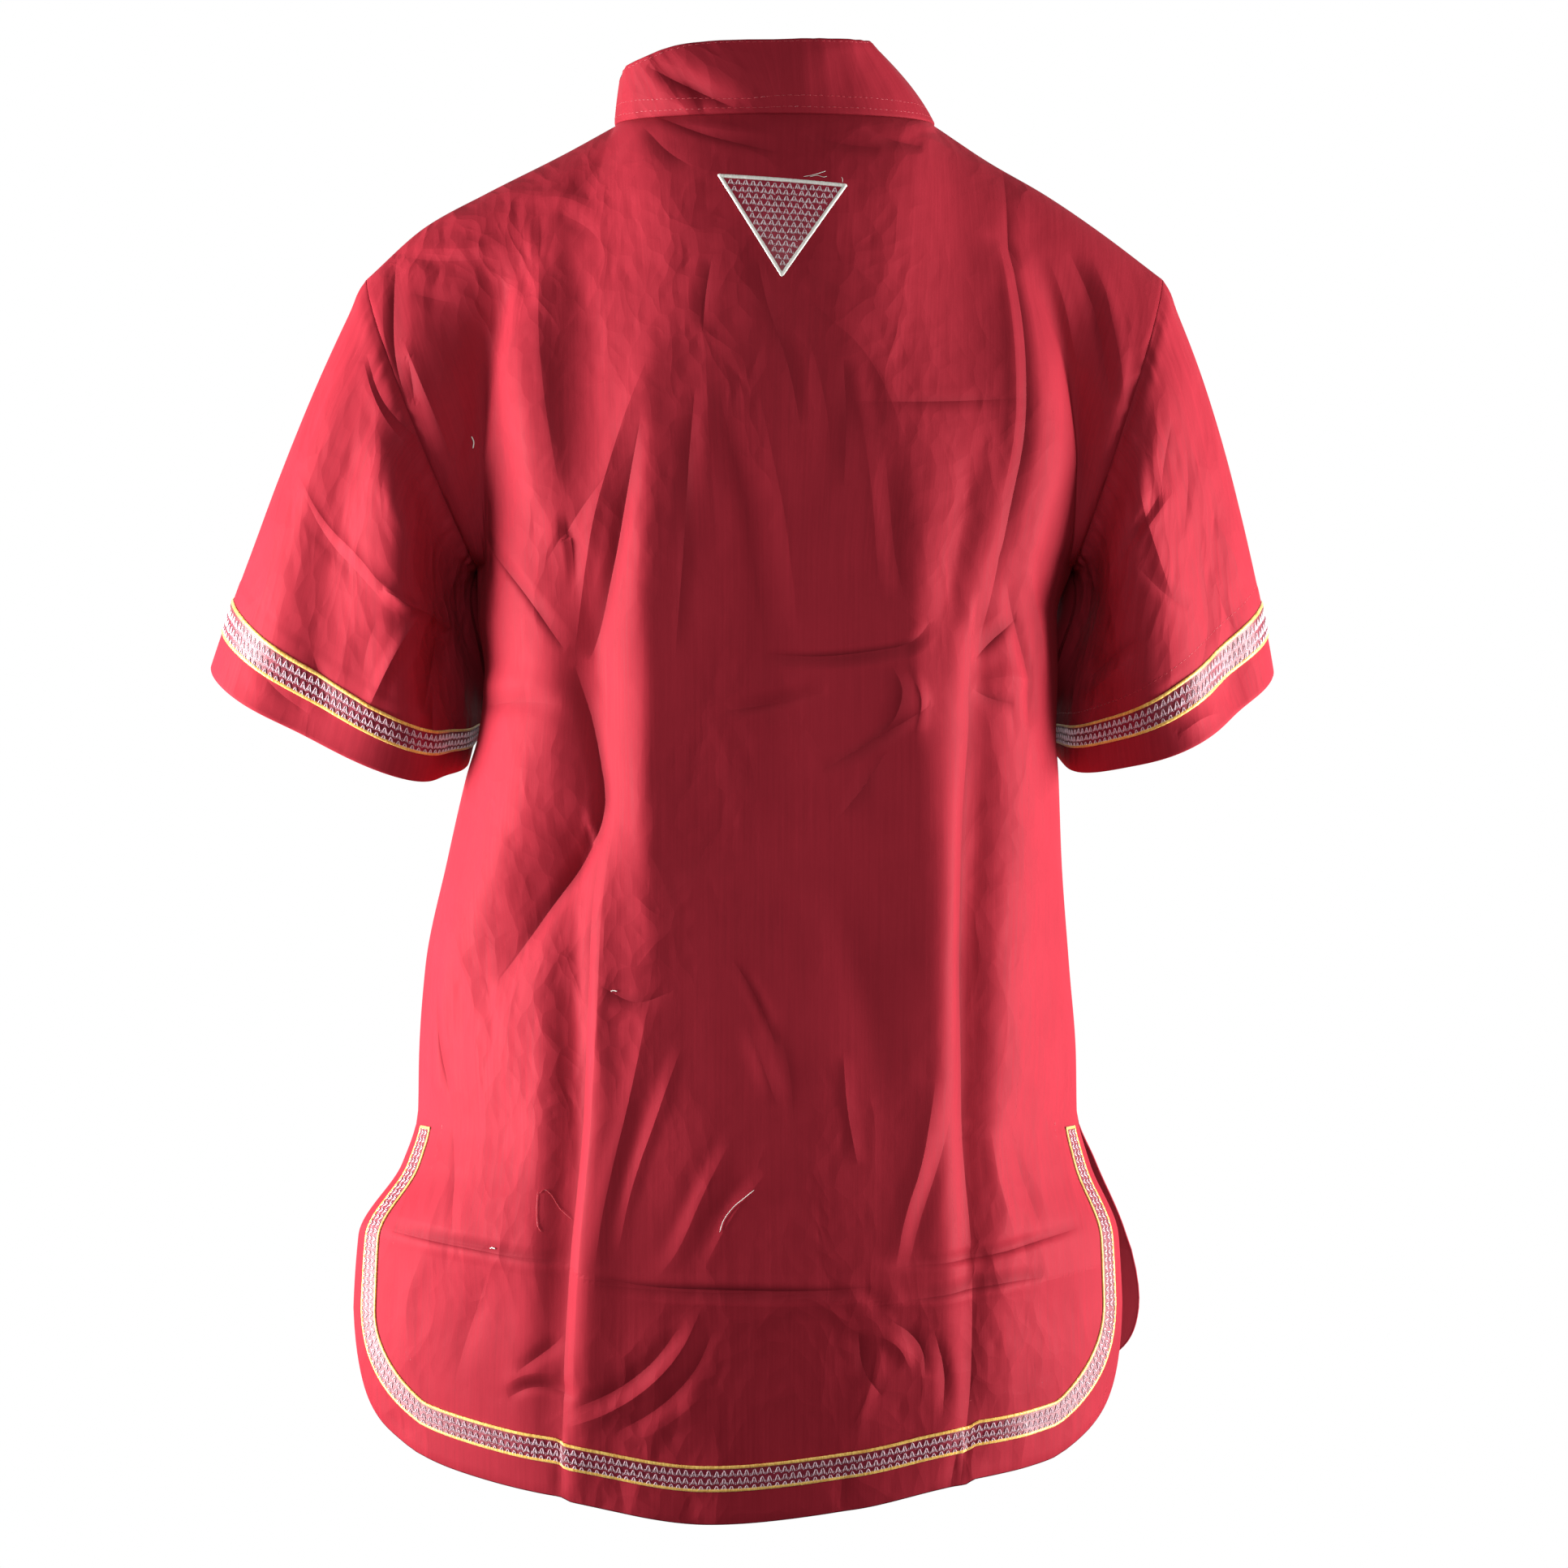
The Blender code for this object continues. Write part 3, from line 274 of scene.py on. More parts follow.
# Tables of creases. columns: name | half width, rise, swing (+ lifts one side and sinks the other),
# sharpness | line. Lengths are in millimetres.
# Back: a line runs over the cloth, by distance from the centre and height.
BACK_CREASES = creases("""
left armpit, inner lip | 10 -4 0 2 | 151,-96 173,-111 187,-135 196,-167 199,-199
dimple beside the blade | 7 -2 0 2 | 145,-74 142,-89 139,-115
crest over the blade | 7 1.6 0 1.6 | 137,-68 131,-95 130,-123 125,-179 120,-220
bump at the top | 10 3 0 2 | 127,-68 123,-90 115,-124
valley beside the bump | 9 -2 0 2 | 115,-81 105,-125 99,-148
slant crest | 11 2.4 0 1.6 | 63,-145 82,-181 95,-212 104,-239 113,-270 119,-306
dark wedge | 15 -8 0 1.7 | 70,-180 80,-214 90,-253 100,-288 110,-311
strip beside the centre | 9 2 0 2 | 65,-140 72,-189 76,-235 79,-288 84,-333
left edge of the flat centre | 8 1.8 0 2 | 58,-126 66,-196 73,-262 68,-330 72,-396 66,-486
thin slant | 4 -1.4 0 1.4 | 90,-206 118,-238 134,-257
sharp slant | 4 -2.6 1.2 1.3 | 197,-238 161,-263 141,-282 124,-306
waist roll, upper | 8 2.6 0 2 | 217,-327 156,-322 124,-330
waist roll, lower | 7 -2.2 0 1.6 | 198,-337 152,-334 125,-337
deep valley at the waist | 9 -4.5 0 1.5 | 119,-315 106,-351 97,-398 115,-424 138,-452 172,-494
swell beside it | 17 4.5 0 2 | 134,-342 143,-378 163,-424 192,-466
left press crease | 3.4 -2 0 1.1 | 99,-399 103,-442 105,-509 110,-576 114,-634 118,-688 118,-733 \
    120,-774
left press crease, lit lip | 8 1.5 0 1.6 | 91,-401 96,-441 98,-509 103,-576 107,-634 111,-688 \
    112,-733
right press crease, upper | 4.2 -2.6 0 1.2 | -132,-26 -131,-70 -132,-133 -133,-188 -129,-225 \
    -129,-261 -118,-306
its lit lip | 5 1.4 0 1.6 | -124,-75 -126,-133 -128,-184 -123,-225
right press crease, middle | 4.2 -3.4 0 1.1 | -111,-312 -110,-329 -111,-351 -105,-397 -104,-478 \
    -111,-591 -114,-649
right press crease, lower | 4.2 -2.4 0 1.2 | -114,-648 -113,-707 -109,-739 -105,-770
right edge of the flat centre | 8 1.4 0 2 | -70,-199 -79,-262 -75,-322 -82,-396 -80,-460 -87,-531
fan of the right edge | 9 2.4 0 1.5 | -88,-545 -82,-589 -71,-620 -67,-647
strip right of the centre | 9 2.2 0 2 | -89,-329 -92,-397 -94,-487 -98,-554
cloth beside the left press crease | 28 6.5 0 2 | 122,-500 120,-600 123,-690 127,-770
cross crease, left | 4 -3.2 2.2 1.1 | 251,-635 215,-638 168,-642 115,-648
cross crease, middle | 4 -2.8 -2 1.1 | 97,-653 70,-658 34,-659 -20,-660 -54,-658
cross crease, right | 4 -2.8 2 1.1 | -70,-666 -89,-664 -113,-661 -138,-658 -166,-658
cross crease, upper right | 5 -2.4 1.4 1.3 | -65,-647 -113,-645 -136,-641 -196,-633
tilt below the cross crease | 26 -4 0 2 | 235,-664 189,-669 146,-677 116,-684
tilt below it, right | 24 -2.6 0 2 | -119,-685 -153,-680 -193,-672
long hem fold | 5.5 2 0 1.4 | 115,-737 92,-729 69,-714 51,-694 40,-669
trough above it | 5.5 -2 0 1.4 | 110,-726 88,-716 67,-700 54,-682
trough below it | 5 -1.6 0 1.4 | 88,-739 63,-725 43,-704 34,-682
hem fold, second | 7 1.3 0 1.8 | 74,-743 51,-729 34,-711
swirl at left | 5 -2.2 0.7 1.4 | 151,-722 138,-715 123,-716 110,-721
swirl at left, lip | 6 1.3 0 1.7 | 153,-715 138,-707 120,-708
short slant at left hem | 5 -1.8 0 1.6 | 145,-707 132,-697 121,-688
swirl at right, trough | 4.5 -2.2 0 1.4 | -65,-677 -75,-683 -83,-693 -84,-708
swirl at right, lip | 5 1.6 0 1.6 | -60,-686 -69,-691 -75,-703
swirl at right, second | 4.5 -2.4 0 1.5 | -46,-682 -48,-704 -59,-718
right hem fold | 6 2.4 0 1.8 | -43,-736 -53,-713 -57,-691
right hem fold, second | 5 -2.2 0 1.5 | -89,-683 -96,-706 -94,-728
pinch at the cross crease | 5 -2.6 0 1.5 | -48,-658 -54,-664 -63,-670
crease by the left seam | 4 -2.6 0.8 1.2 | 224,-501 217,-531 211,-558
crease by the left seam, low | 4 -1.2 0 1.3 | 211,-573 201,-599 192,-634
waist line, centre | 3.6 -2.8 -1.4 1.2 | 5,-309 -25,-311 -52,-308 -75,-304 -86,-290
waist line, low | 4 -2 1 1.3 | 31,-341 2,-337 -30,-330
waist slant | 3.6 -2.8 0 1.2 | -28,-373 -47,-361 -69,-348 -84,-337
waist slant, low | 4 -2 0 1.3 | -36,-399 -51,-381 -62,-362
waist curl | 4.5 -2.6 0 1.4 | -64,-315 -71,-329 -66,-346 -57,-354
waist curl, lip | 5 2.8 0 1.7 | -73,-320 -80,-333 -76,-352
right crumple, top | 4.5 -3 1 1.4 | -116,-311 -130,-298 -146,-288
right crumple, middle | 4 -2.6 0 1.4 | -114,-328 -127,-334 -140,-336
right crumple, lip | 6 2.6 0 1.8 | -121,-323 -137,-320 -158,-323
right crumple, long | 6 -3 0 1.6 | -136,-269 -145,-292 -155,-319 -153,-351
right crumple, outer | 6 2.6 0 1.8 | -149,-260 -168,-287 -172,-318
right long swell | 11 3.4 0 2 | -117,-198 -118,-243 -109,-288 -100,-333
right long valley | 9 -3 0 1.8 | -105,-198 -105,-243 -98,-284 -89,-306
right side valley | 11 -2.4 0 2 | -155,-214 -166,-260 -165,-305
cloth beside the right press crease | 28 8 0 2 | -120,-300 -118,-400 -117,-480 -119,-580 \
    -121,-760
fall towards the right side | 22 -2.6 0 2 | -162,-310 -158,-420 -158,-560
slant below the triangle | 12 1.8 0 1.8 | -6,-101 -21,-122 -39,-139 -53,-160 -67,-193
dark under the slant | 11 -2 0 1.8 | -12,-126 -23,-164 -29,-200 -26,-240
light band | 11 2 0 1.8 | 8,-164 0,-205 -7,-240 -13,-293
dark band | 11 -2 0 1.8 | 27,-164 21,-204 14,-244 5,-298
light band at right | 12 1.5 0 1.8 | -41,-173 -52,-226 -59,-279
dark band at right | 8 -2.2 0 1.8 | -56,-199 -63,-240 -71,-279
light band at left | 10 1.8 0 1.8 | 32,-141 34,-191 32,-253
thin line at left | 4 -2.2 0 1.2 | 39,-163 46,-208 50,-253 54,-309
thin line, second | 3.5 -1.8 0 1.2 | 54,-182 53,-208 57,-244
fork at left | 4 -1.8 0 1.4 | 28,-152 37,-166 43,-181
thread of the yoke, one | 3.5 -2 0 1.2 | 26,-90 30,-109 33,-132
thread of the yoke, two | 3.5 -2.2 0 1.2 | 7,-90 3,-119 -6,-149 -12,-182
thread of the yoke, three | 3.5 -1.4 0 1.3 | 12,-88 11,-128 3,-152
thread of the yoke, four | 3.5 -1.2 0 1.3 | -3,-106 -3,-146 -6,-191
thread of the yoke, five | 4 -2.2 0 1.3 | -31,-146 -35,-181 -36,-217
cross line at right | 3.4 -1.8 0 1.1 | -35,-170 -72,-170 -130,-166
small fold, right of the tip | 6 -1.8 0 1.8 | -38,-137 -47,-159 -50,-181
left shoulder trough | 4.5 -4.6 0 1.6 | 221,-78 227,-105 232,-124 236,-143 238,-163
left shoulder trough, second | 3.5 -2.4 0 1.5 | 228,-139 230,-153 233,-165
left shoulder crest | 4.5 2.6 0 1.6 | 228,-129 225,-154 223,-176 222,-198
left shoulder crest, outer | 6 2.2 0 1.8 | 228,-83 234,-109 239,-133 239,-156
right shoulder trough | 5.5 -2.4 0 1.6 | -176,-78 -194,-104 -209,-132 -222,-162
right shoulder crest | 6 1.8 0 1.7 | -191,-81 -210,-115 -224,-143 -234,-167
right shoulder crest, inner | 6 2.2 0 1.8 | -162,-83 -179,-111 -196,-144
right armpit, inner lip | 10 -3 0 2 | -154,-101 -173,-121 -190,-149 -204,-186 -218,-222
shoulder dimple, one | 6 -1.8 0 1.8 | 216,-78 195,-83 166,-82
shoulder dimple, two | 5 1.6 0 1.8 | 201,-74 179,-76 159,-73
shoulder dimple, three | 6 -1.4 0 1.8 | 217,-101 206,-104 193,-108
shoulder dimple, four | 7 -1.6 0 1.8 | 120,-57 102,-67 93,-77
shoulder dimple, five | 7 1.6 0 1.8 | 144,-49 120,-45 95,-58
right shoulder dimple | 6 -1.6 0 1.8 | -115,-71 -129,-75 -139,-89
collar pull, one | 4.5 -2 1 1.5 | 45,-2 27,-16 12,-23 -3,-29
collar pull, two | 5 1.6 0 1.8 | 36,-8 18,-14 1,-18
collar pull, three | 4.5 -1.6 0 1.5 | 54,-9 44,-25 32,-36
collar pull, four | 5 -1.6 0 1.6 | -9,-13 -21,-22 -42,-24
collar pull, five | 5 -1.8 0 1.6 | -33,-10 -45,-18 -67,-20
line from the left neck | 7 -1.8 0 1.8 | 67,-14 98,-31 115,-51
low centre, broad light | 16 2.2 0 2 | 44,-400 38,-480 30,-560
low centre, broad dark | 14 -2.4 0 2 | -30,-430 -48,-490 -62,-560
low centre, highlight | 7 1.8 0 1.6 | 16,-514 7,-535 -1,-557
low centre, slant | 5 -2.4 0 1.4 | 22,-480 9,-500 -1,-526
low centre, dark | 8 -1.8 0 1.8 | -1,-513 -9,-539 -11,-575
thin light curve | 3.5 1.8 0 1.2 | -38,-531 -40,-562 -46,-591
low left, thin | 4 -2.2 0 1.3 | 96,-493 76,-504 57,-496
fan, first | 6 1.6 0 1.3 | 69,-504 77,-544 88,-585 95,-621 98,-647
fan, second | 5 1.4 0 1.3 | 51,-526 64,-562 79,-602 86,-638
fan, third | 5 -1.3 0 1.4 | 57,-521 70,-558 84,-598 91,-638
fan, fourth | 7 1.8 0 1.7 | 25,-579 39,-606 52,-637 63,-651
fan, fifth | 6 -1.6 0 1.7 | 31,-575 46,-606 61,-640
fan, sixth | 6 1.6 0 1.7 | 3,-593 24,-619 38,-646
fan, seventh | 6 -1.5 0 1.7 | 11,-592 32,-619 45,-646
right fan, trough | 7 -2 0 1.7 | -101,-559 -90,-594 -79,-625 -74,-647
right fan, outer | 7 1.8 0 1.7 | -127,-573 -131,-605 -141,-637
right fan, outer dark | 7 -1.6 0 1.7 | -143,-570 -153,-602 -165,-634
left seam swell | 10 2.4 0 2 | 205,-466 215,-513 227,-574
below the crease, left | 9 1.8 0 1.8 | 215,-646 227,-672 223,-699
below the crease, mid | 9 -1.6 0 1.8 | 167,-652 180,-683 188,-715
below the crease, thin | 4 -1.2 0 1.4 | 86,-660 91,-682 95,-710
below the crease, thin two | 4 1.2 0 1.4 | 75,-660 79,-683 83,-705
hem ripple, one | 5 -2 0 1.5 | 116,-756 119,-768 121,-778
hem ripple, two | 7 1.8 0 1.6 | 110,-753 112,-768 114,-779
hem ripple, three | 6 -1.4 0 1.7 | 88,-759 85,-773 83,-783
hem ripple, four | 6 -1.4 0 1.7 | -38,-754 -37,-768 -36,-782
hem ripple, five | 6 -2 0 1.6 | -104,-743 -102,-756 -99,-773
hem ripple, six | 7 1.4 0 1.7 | -148,-737 -146,-750 -144,-762
hem ripple, seven | 7 -1.3 0 1.7 | 241,-738 227,-748 223,-753
""")

# Front: creases of its own, then half of the back's, mirrored
FRONT_CREASES = creases("""
centre trough | 8 -3.2 0 1.7 | 6,-262 14,-330 10,-400
centre crest | 7 2.4 0 1.6 | 28,-240 34,-330 30,-450
second trough | 8 -2.8 0 1.6 | -30,-250 -38,-340 -36,-440
cross crease | 4 -2.2 1 1.3 | 190,-640 120,-650 40,-655 -60,-652 -180,-640
hem trough | 6 -2.4 0 1.5 | 60,-730 40,-700 34,-668
hem crest | 6 2.2 0 1.6 | -70,-735 -58,-705 -50,-672
line from the left neck | 5 -1.8 0 1.4 | 70,-60 52,-96 30,-120
line from the right neck | 5 -1.6 0 1.4 | -72,-62 -54,-100 -34,-128
crest from the left neck | 6 1.6 0 1.6 | 96,-70 70,-110 52,-150
crest from the right neck | 6 1.8 0 1.6 | -98,-72 -72,-116 -52,-160
""")
FRONT_CREASES += mirrored([c for c in BACK_CREASES if quiet_front(c)][::2], -12)
CREASES = {BACK: BACK_CREASES, FRONT: FRONT_CREASES}

# Sleeves: places as seen from behind or from the front, across and up
SLEEVE_CREASES = {
    (LEFT, BACK): creases("""
long slant to the fold | 4.5 1.4 0.9 1.3 | 273,-202 257,-232 234,-253 222,-269 199,-282
trough under it | 4.5 -1.4 0 1.3 | 269,-214 255,-242 234,-263 220,-279
fold at the inner side | 5.5 4.6 0 1.4 | 221,-271 208,-279 196,-284 188,-293
hollow under the fold | 8 -1.8 0 1.8 | 225,-288 232,-304 234,-320
ridge down to the trim | 5 2.8 0 1.4 | 201,-285 212,-302 221,-318 232,-340
dark wedge | 9 -4.5 0 1.6 | 194,-297 197,-318 201,-341
pucker in the trim | 3.5 -3.5 0 1.3 | 196,-325 196,-341 197,-360
short line | 4 -2.2 0 1.3 | 183,-290 190,-304 188,-327
ridge beside the armhole | 4 2.2 0 1.4 | 234,-140 228,-161 218,-179 204,-193
line beside the armhole | 3 -1.8 0 1.3 | 232,-137 225,-160 214,-175 199,-188
slow swell | 16 0.8 0 2 | 289,-193 280,-258 271,-332
slow hollow | 12 -0.8 0 2 | 257,-165 259,-221 248,-286
slant at the outer side | 4 -1.2 0 1.4 | 303,-300 289,-325 266,-341
soft line above the trim | 6 -1.6 0 1.6 | 252,-341 257,-327 264,-304
line in the shade | 3.5 -1.2 0 1.3 | 181,-230 192,-258 194,-276
"""),
    (LEFT, FRONT): creases("""
inner fold | 6 3.4 0 1.6 | 206,-260 216,-300 230,-338
trough down the front | 8 -4 0 1.6 | 226,-190 232,-260 240,-330
slant at the armhole | 5 -2.6 0 1.5 | 240,-150 222,-190 204,-215
outer swell | 5 2.6 0 1.5 | 262,-190 272,-260 284,-310
cross trough | 4 -1.8 0 1.4 | 290,-260 262,-290 226,-300
"""),
    (RIGHT, BACK): creases("""
line beside the armhole | 4.5 -3 0 1.4 | -220,-96 -215,-119 -207,-142 -202,-170 -195,-191
edge of the light | 6 2.6 0 1.6 | -204,-193 -206,-221 -215,-249 -225,-276
slant in the shade | 5 -1.6 0 1.4 | -194,-258 -204,-239 -218,-216
its lit lip | 5 1.4 0 1.4 | -199,-253 -211,-235 -225,-216
cross slant | 4.5 -1.4 0.8 1.3 | -204,-258 -220,-274 -234,-282
hollow | 14 -5 0 2 | -198,-250 -204,-285 -208,-320
small lit fold | 5 2.6 0 1.4 | -178,-331 -190,-320 -201,-309
dark beside it | 5 -2.4 0 1.4 | -181,-320 -192,-309 -204,-300
dark line at the outer side | 4.5 -1.6 0 1.3 | -243,-258 -248,-286 -245,-304 -238,-327
lit lip beside it | 4.5 1.4 0 1.3 | -250,-258 -257,-281 -252,-309 -245,-332
fine line, one | 3 -1.2 0 1.3 | -234,-193 -235,-212 -232,-239
fine line, two | 3 -1.2 0 1.3 | -225,-175 -220,-198 -218,-216
fine line, three | 3.5 1.2 0 1.4 | -252,-230 -264,-249 -269,-267
fine line, four | 4 -1.4 0 1.4 | -252,-267 -259,-286 -266,-295
slow swell | 10 1.8 0 2 | -238,-133 -248,-175 -252,-230
line above the trim | 5 -1.8 0 1.5 | -215,-341 -225,-327 -238,-318
fold in the cuff | 4.5 2 0 1.5 | -229,-353 -243,-343 -252,-341
"""),
    (RIGHT, FRONT): creases("""
inner fold | 6 3.4 0 1.6 | -206,-250 -216,-296 -226,-340
trough down the front | 8 -4 0 1.6 | -222,-180 -228,-250 -238,-330
slant at the armhole | 5 -2.6 0 1.5 | -236,-150 -218,-190 -202,-215
cross trough | 4 -1.8 0 1.4 | -270,-250 -246,-284 -212,-296
"""),
}

# Collar: places as seen from behind
COLLAR_CREASES = creases("""
slant at the left | 7 -3.4 0.8 1.4 | 72,27 50,14 22,0
lip under it | 7 1.4 0 1.8 | 66,10 46,0 34,-5
hollow at the right | 18 -3 0 2 | -38,36 -42,16 -40,2
dent in the middle | 6 -0.6 0 1.8 | 2,38 -4,22 -2,4
""")

# ---------------------------------------------------------------- small geometry helpers

def ease(t):
    """Rises smoothly from 0 to 1."""
    t = np.clip(t, 0.0, 1.0)
    return t * t * (3.0 - 2.0 * t)


def hermite(start, end, leave, arrive, t):
    """Cubic from start to end with the derivatives leave and arrive."""
    a = 2 * t**3 - 3 * t**2 + 1
    b = -2 * t**3 + 3 * t**2
    c = t**3 - 2 * t**2 + t
    d = t**3 - t**2
    return a * start + b * end + c * leave + d * arrive


def follow(x, table, column):
    """Smooth curve through one column of a table, which never overshoots its values."""
    rows = np.array(sorted(table))
    places = rows[:, 0]
    values = rows[:, column]
    rates = np.diff(values) / np.diff(places)
    slopes = np.concatenate((rates[:1], np.zeros(len(rates) - 1), rates[-1:]))
    same = rates[:-1] * rates[1:] > 0
    sums = np.where(same, rates[:-1] + rates[1:], 1.0)
    slopes[1:-1] = np.where(same, 2 * rates[:-1] * rates[1:] / sums, 0.0)
    x = np.clip(np.asarray(x, float), places[0], places[-1])
    k = np.clip(np.searchsorted(places, x) - 1, 0, len(places) - 2)
    span = places[k + 1] - places[k]
    t = (x - places[k]) / span
    return hermite(values[k], values[k + 1], slopes[k] * span, slopes[k + 1] * span, t)


def unit(ways):
    """The same directions with length 1."""
    size = np.linalg.norm(ways, axis=-1, keepdims=True)
    return ways / np.maximum(size, 1e-12)


def triple(x, y, z):
    return np.stack(np.broadcast_arrays(x, y, z), axis=-1).astype(float)


def pairs(a, b):
    """Cloth coordinates for each place, as rows of two."""
    return np.stack(np.broadcast_arrays(a, b), -1).reshape(-1, 2)


def grid_normals(points):
    """Unit normals of a grid of points, from its rows and columns."""
    return unit(np.cross(np.gradient(points, axis=1), np.gradient(points, axis=0)))


def away_from_axis(points):
    """Level directions from the body's middle outwards, mostly to the back or the front."""
    outward = points * np.array([0.55, 1.0, 0.0])
    return outward / (np.linalg.norm(outward, axis=-1, keepdims=True) + 1e-9)


def smoothed(points, reach):
    """The row of points with its corners rounded over that many places; its ends stay."""
    weight = np.exp(-np.linspace(-2.2, 2.2, 2 * reach + 1) ** 2)
    weight /= weight.sum()
    before = 2 * points[:1] - points[reach:0:-1]
    after = 2 * points[-1:] - points[-2:-reach - 2:-1]
    padded = np.concatenate((before, points, after))
    columns = [np.convolve(padded[:, k], weight, "valid") for k in range(points.shape[1])]
    return np.stack(columns, -1)


def smooth_line(line):
    """A line given in millimetres with its corners cut twice, in metres."""
    line = np.array(line, float)
    for _ in range(2):
        if len(line) < 3:
            break
        first = line[:-1] * 0.75 + line[1:] * 0.25
        second = line[:-1] * 0.25 + line[1:] * 0.75
        cut = np.stack((first, second), 1).reshape(-1, 2)
        line = np.concatenate((line[:1], cut, line[-1:]))
    return [(float(a) * MM, float(b) * MM) for a, b in line]


def distance_to_line(s, z, line):
    """Signed distance from a broken line, + on its left, and the share of the line passed."""
    best = np.full(np.shape(s), 9.0)
    side = np.zeros(np.shape(s))
    passed = np.zeros(np.shape(s))
    before = 0.0
    for a, b in zip(line, line[1:]):
        length = math.dist(a, b)
        ds, dz = (b[0] - a[0]) / length, (b[1] - a[1]) / length
        along = np.clip((s - a[0]) * ds + (z - a[1]) * dz, 0.0, length)
        off_s, off_z = s - a[0] - along * ds, z - a[1] - along * dz
        away = np.hypot(off_s, off_z)
        nearer = away < best
        best = np.where(nearer, away, best)
        side = np.where(nearer, np.sign(ds * off_z - dz * off_s), side)
        passed = np.where(nearer, before + along, passed)
        before += length
    return best * side, passed / before


# ---------------------------------------------------------------- relief of the cloth

LEAN = 2.3                # scales a swing, so that it is near the height of its lip
FINEST_CREASE = 4.6       # half width in mm of the finest crease that the mesh carries
MESH_SHARE = 0.70         # part of a crease's height in the mesh
CORE_SHARE = 0.62         # part of it in its sharp core, which is bump
FINE_SHARE = 0.75         # the same for a crease too fine for the mesh
CREASE_REACH = 3.2        # in half widths, how far a crease goes in the mesh
CORE_WIDTH = 1.5          # half width of the core over the crease's
CORE_WIDEST = 10.0        # in mm
FINE_WIDTH = 2.3          # the same for a crease too fine for the mesh
CREASE_FADE = 0.7         # under 1, a crease keeps its height until near its ends
LAYERS = 6                # attributes that hold the cores
LAYER_FREE = 9.0          # place written where a layer holds no core
LAYER_MARGIN = 0.011      # kept free round a core
GRAIN_RISE = 0.0020       # rise of the cloth's small waves, as a share of their length
GRAIN_WAVES = 26
ROUND = 6.28


def fold_height(s, z, folds):
    """How far the folds lift the cloth at a place on it."""
    height = np.zeros(np.shape(s))
    for line, width, rise, swing in folds:
        away, passed = distance_to_line(s, z, line)
        t = away / width
        fade = np.sin(math.pi * (FOLD_END + (1.0 - 2.0 * FOLD_END) * passed))
        bell = np.exp(-t * t) * fade
        height += rise * bell + swing * LEAN * t * bell
    return height


def near_line(s, z, line, reach):
    """Which places lie near a crease's line, their distances from it, and the share passed."""
    low = np.min(line, axis=0) * MM - reach
    high = np.max(line, axis=0) * MM + reach
    near = (s > low[0]) & (s < high[0]) & (z > low[1]) & (z < high[1])
    return (near,) + distance_to_line(s[near], z[near], smooth_line(line))


def crease_height(s, z, rows):
    """Sum of the creases that the mesh carries: troughs and ridges along broken lines."""
    height = np.zeros(np.shape(s))
    for width, rise, swing, power, line in rows:
        if width < FINEST_CREASE:
            continue
        rise, swing = rise * MESH_SHARE, swing * MESH_SHARE
        width = width * MM
        near, away, passed = near_line(s, z, line, CREASE_REACH * width)
        t = away / width
        fade = np.sin(math.pi * np.clip(0.03 + 0.94 * passed, 0.0, 1.0)) ** CREASE_FADE
        bell = np.exp(-np.abs(t) ** power) * fade
        height[near] += (rise * bell + swing * LEAN * t * np.exp(-t * t) * fade) * MM
    return height


def put_cores(s, z, rows, weight, layers):
    """Puts the sharp core of each crease in the first layer where it meets no other.

    A layer holds (distance over half width, ridge, swing) for each place, heights in millimetres.
    """
    for width, rise, swing, power, line in rows:
        fine = width < FINEST_CREASE
        half = (FINE_WIDTH * width if fine else min(CORE_WIDTH * width, CORE_WIDEST)) * MM
        share = FINE_SHARE if fine else CORE_SHARE * min(1.0, (2.0 - power) / 0.5)
        if share < 0.02:
            continue
        near, away, passed = near_line(s, z, line, half + LAYER_MARGIN)
        close = np.abs(away) < half + LAYER_MARGIN
        index = np.flatnonzero(near)[close]
        away, passed = away[close], passed[close]
        fade = np.sin(math.pi * np.clip(passed, 0.0, 1.0)) ** CREASE_FADE
        strength = fade * share * weight[index]
        strength = strength * ease((half + 0.006 - np.abs(away)) / 0.005)
        for layer in layers:
            if not (layer[index, 0] < LAYER_FREE - 1.0).any():
                layer[index, 0] = away / half
                layer[index, 1] = rise * strength
                layer[index, 2] = swing * strength
                break


class Grain:
    """Small uneven waves of worn cloth, made of many sines that bend each other."""

    def __init__(self, seed):
        random = np.random.default_rng(seed)
        self.angle = random.normal(0.0, 0.55, GRAIN_WAVES)
        self.wave = random.uniform(0.012, 0.060, GRAIN_WAVES)
        self.phase = random.uniform(0.0, ROUND, (GRAIN_WAVES, 3))
        self.where = random.uniform(-1.0, 1.0, (GRAIN_WAVES, 2))

    def __call__(self, s, z):
        total = np.zeros(np.shape(s))
        for angle, wave, phase, where in zip(self.angle, self.wave, self.phase, self.where):
            c, d = math.cos(angle), math.sin(angle)
            across = s * c + z * d
            along = z * c - s * d
            bend = 0.35 * np.sin(along / 0.045 + phase[1])
            spread = 0.5 + 0.5 * np.sin(s / 0.07 * where[0] + z / 0.09 + phase[2])
            ripple = np.sin(across / wave * ROUND + phase[0] + bend * 2.2)
            total += ripple * wave * spread ** 2
        return total / math.sqrt(GRAIN_WAVES)


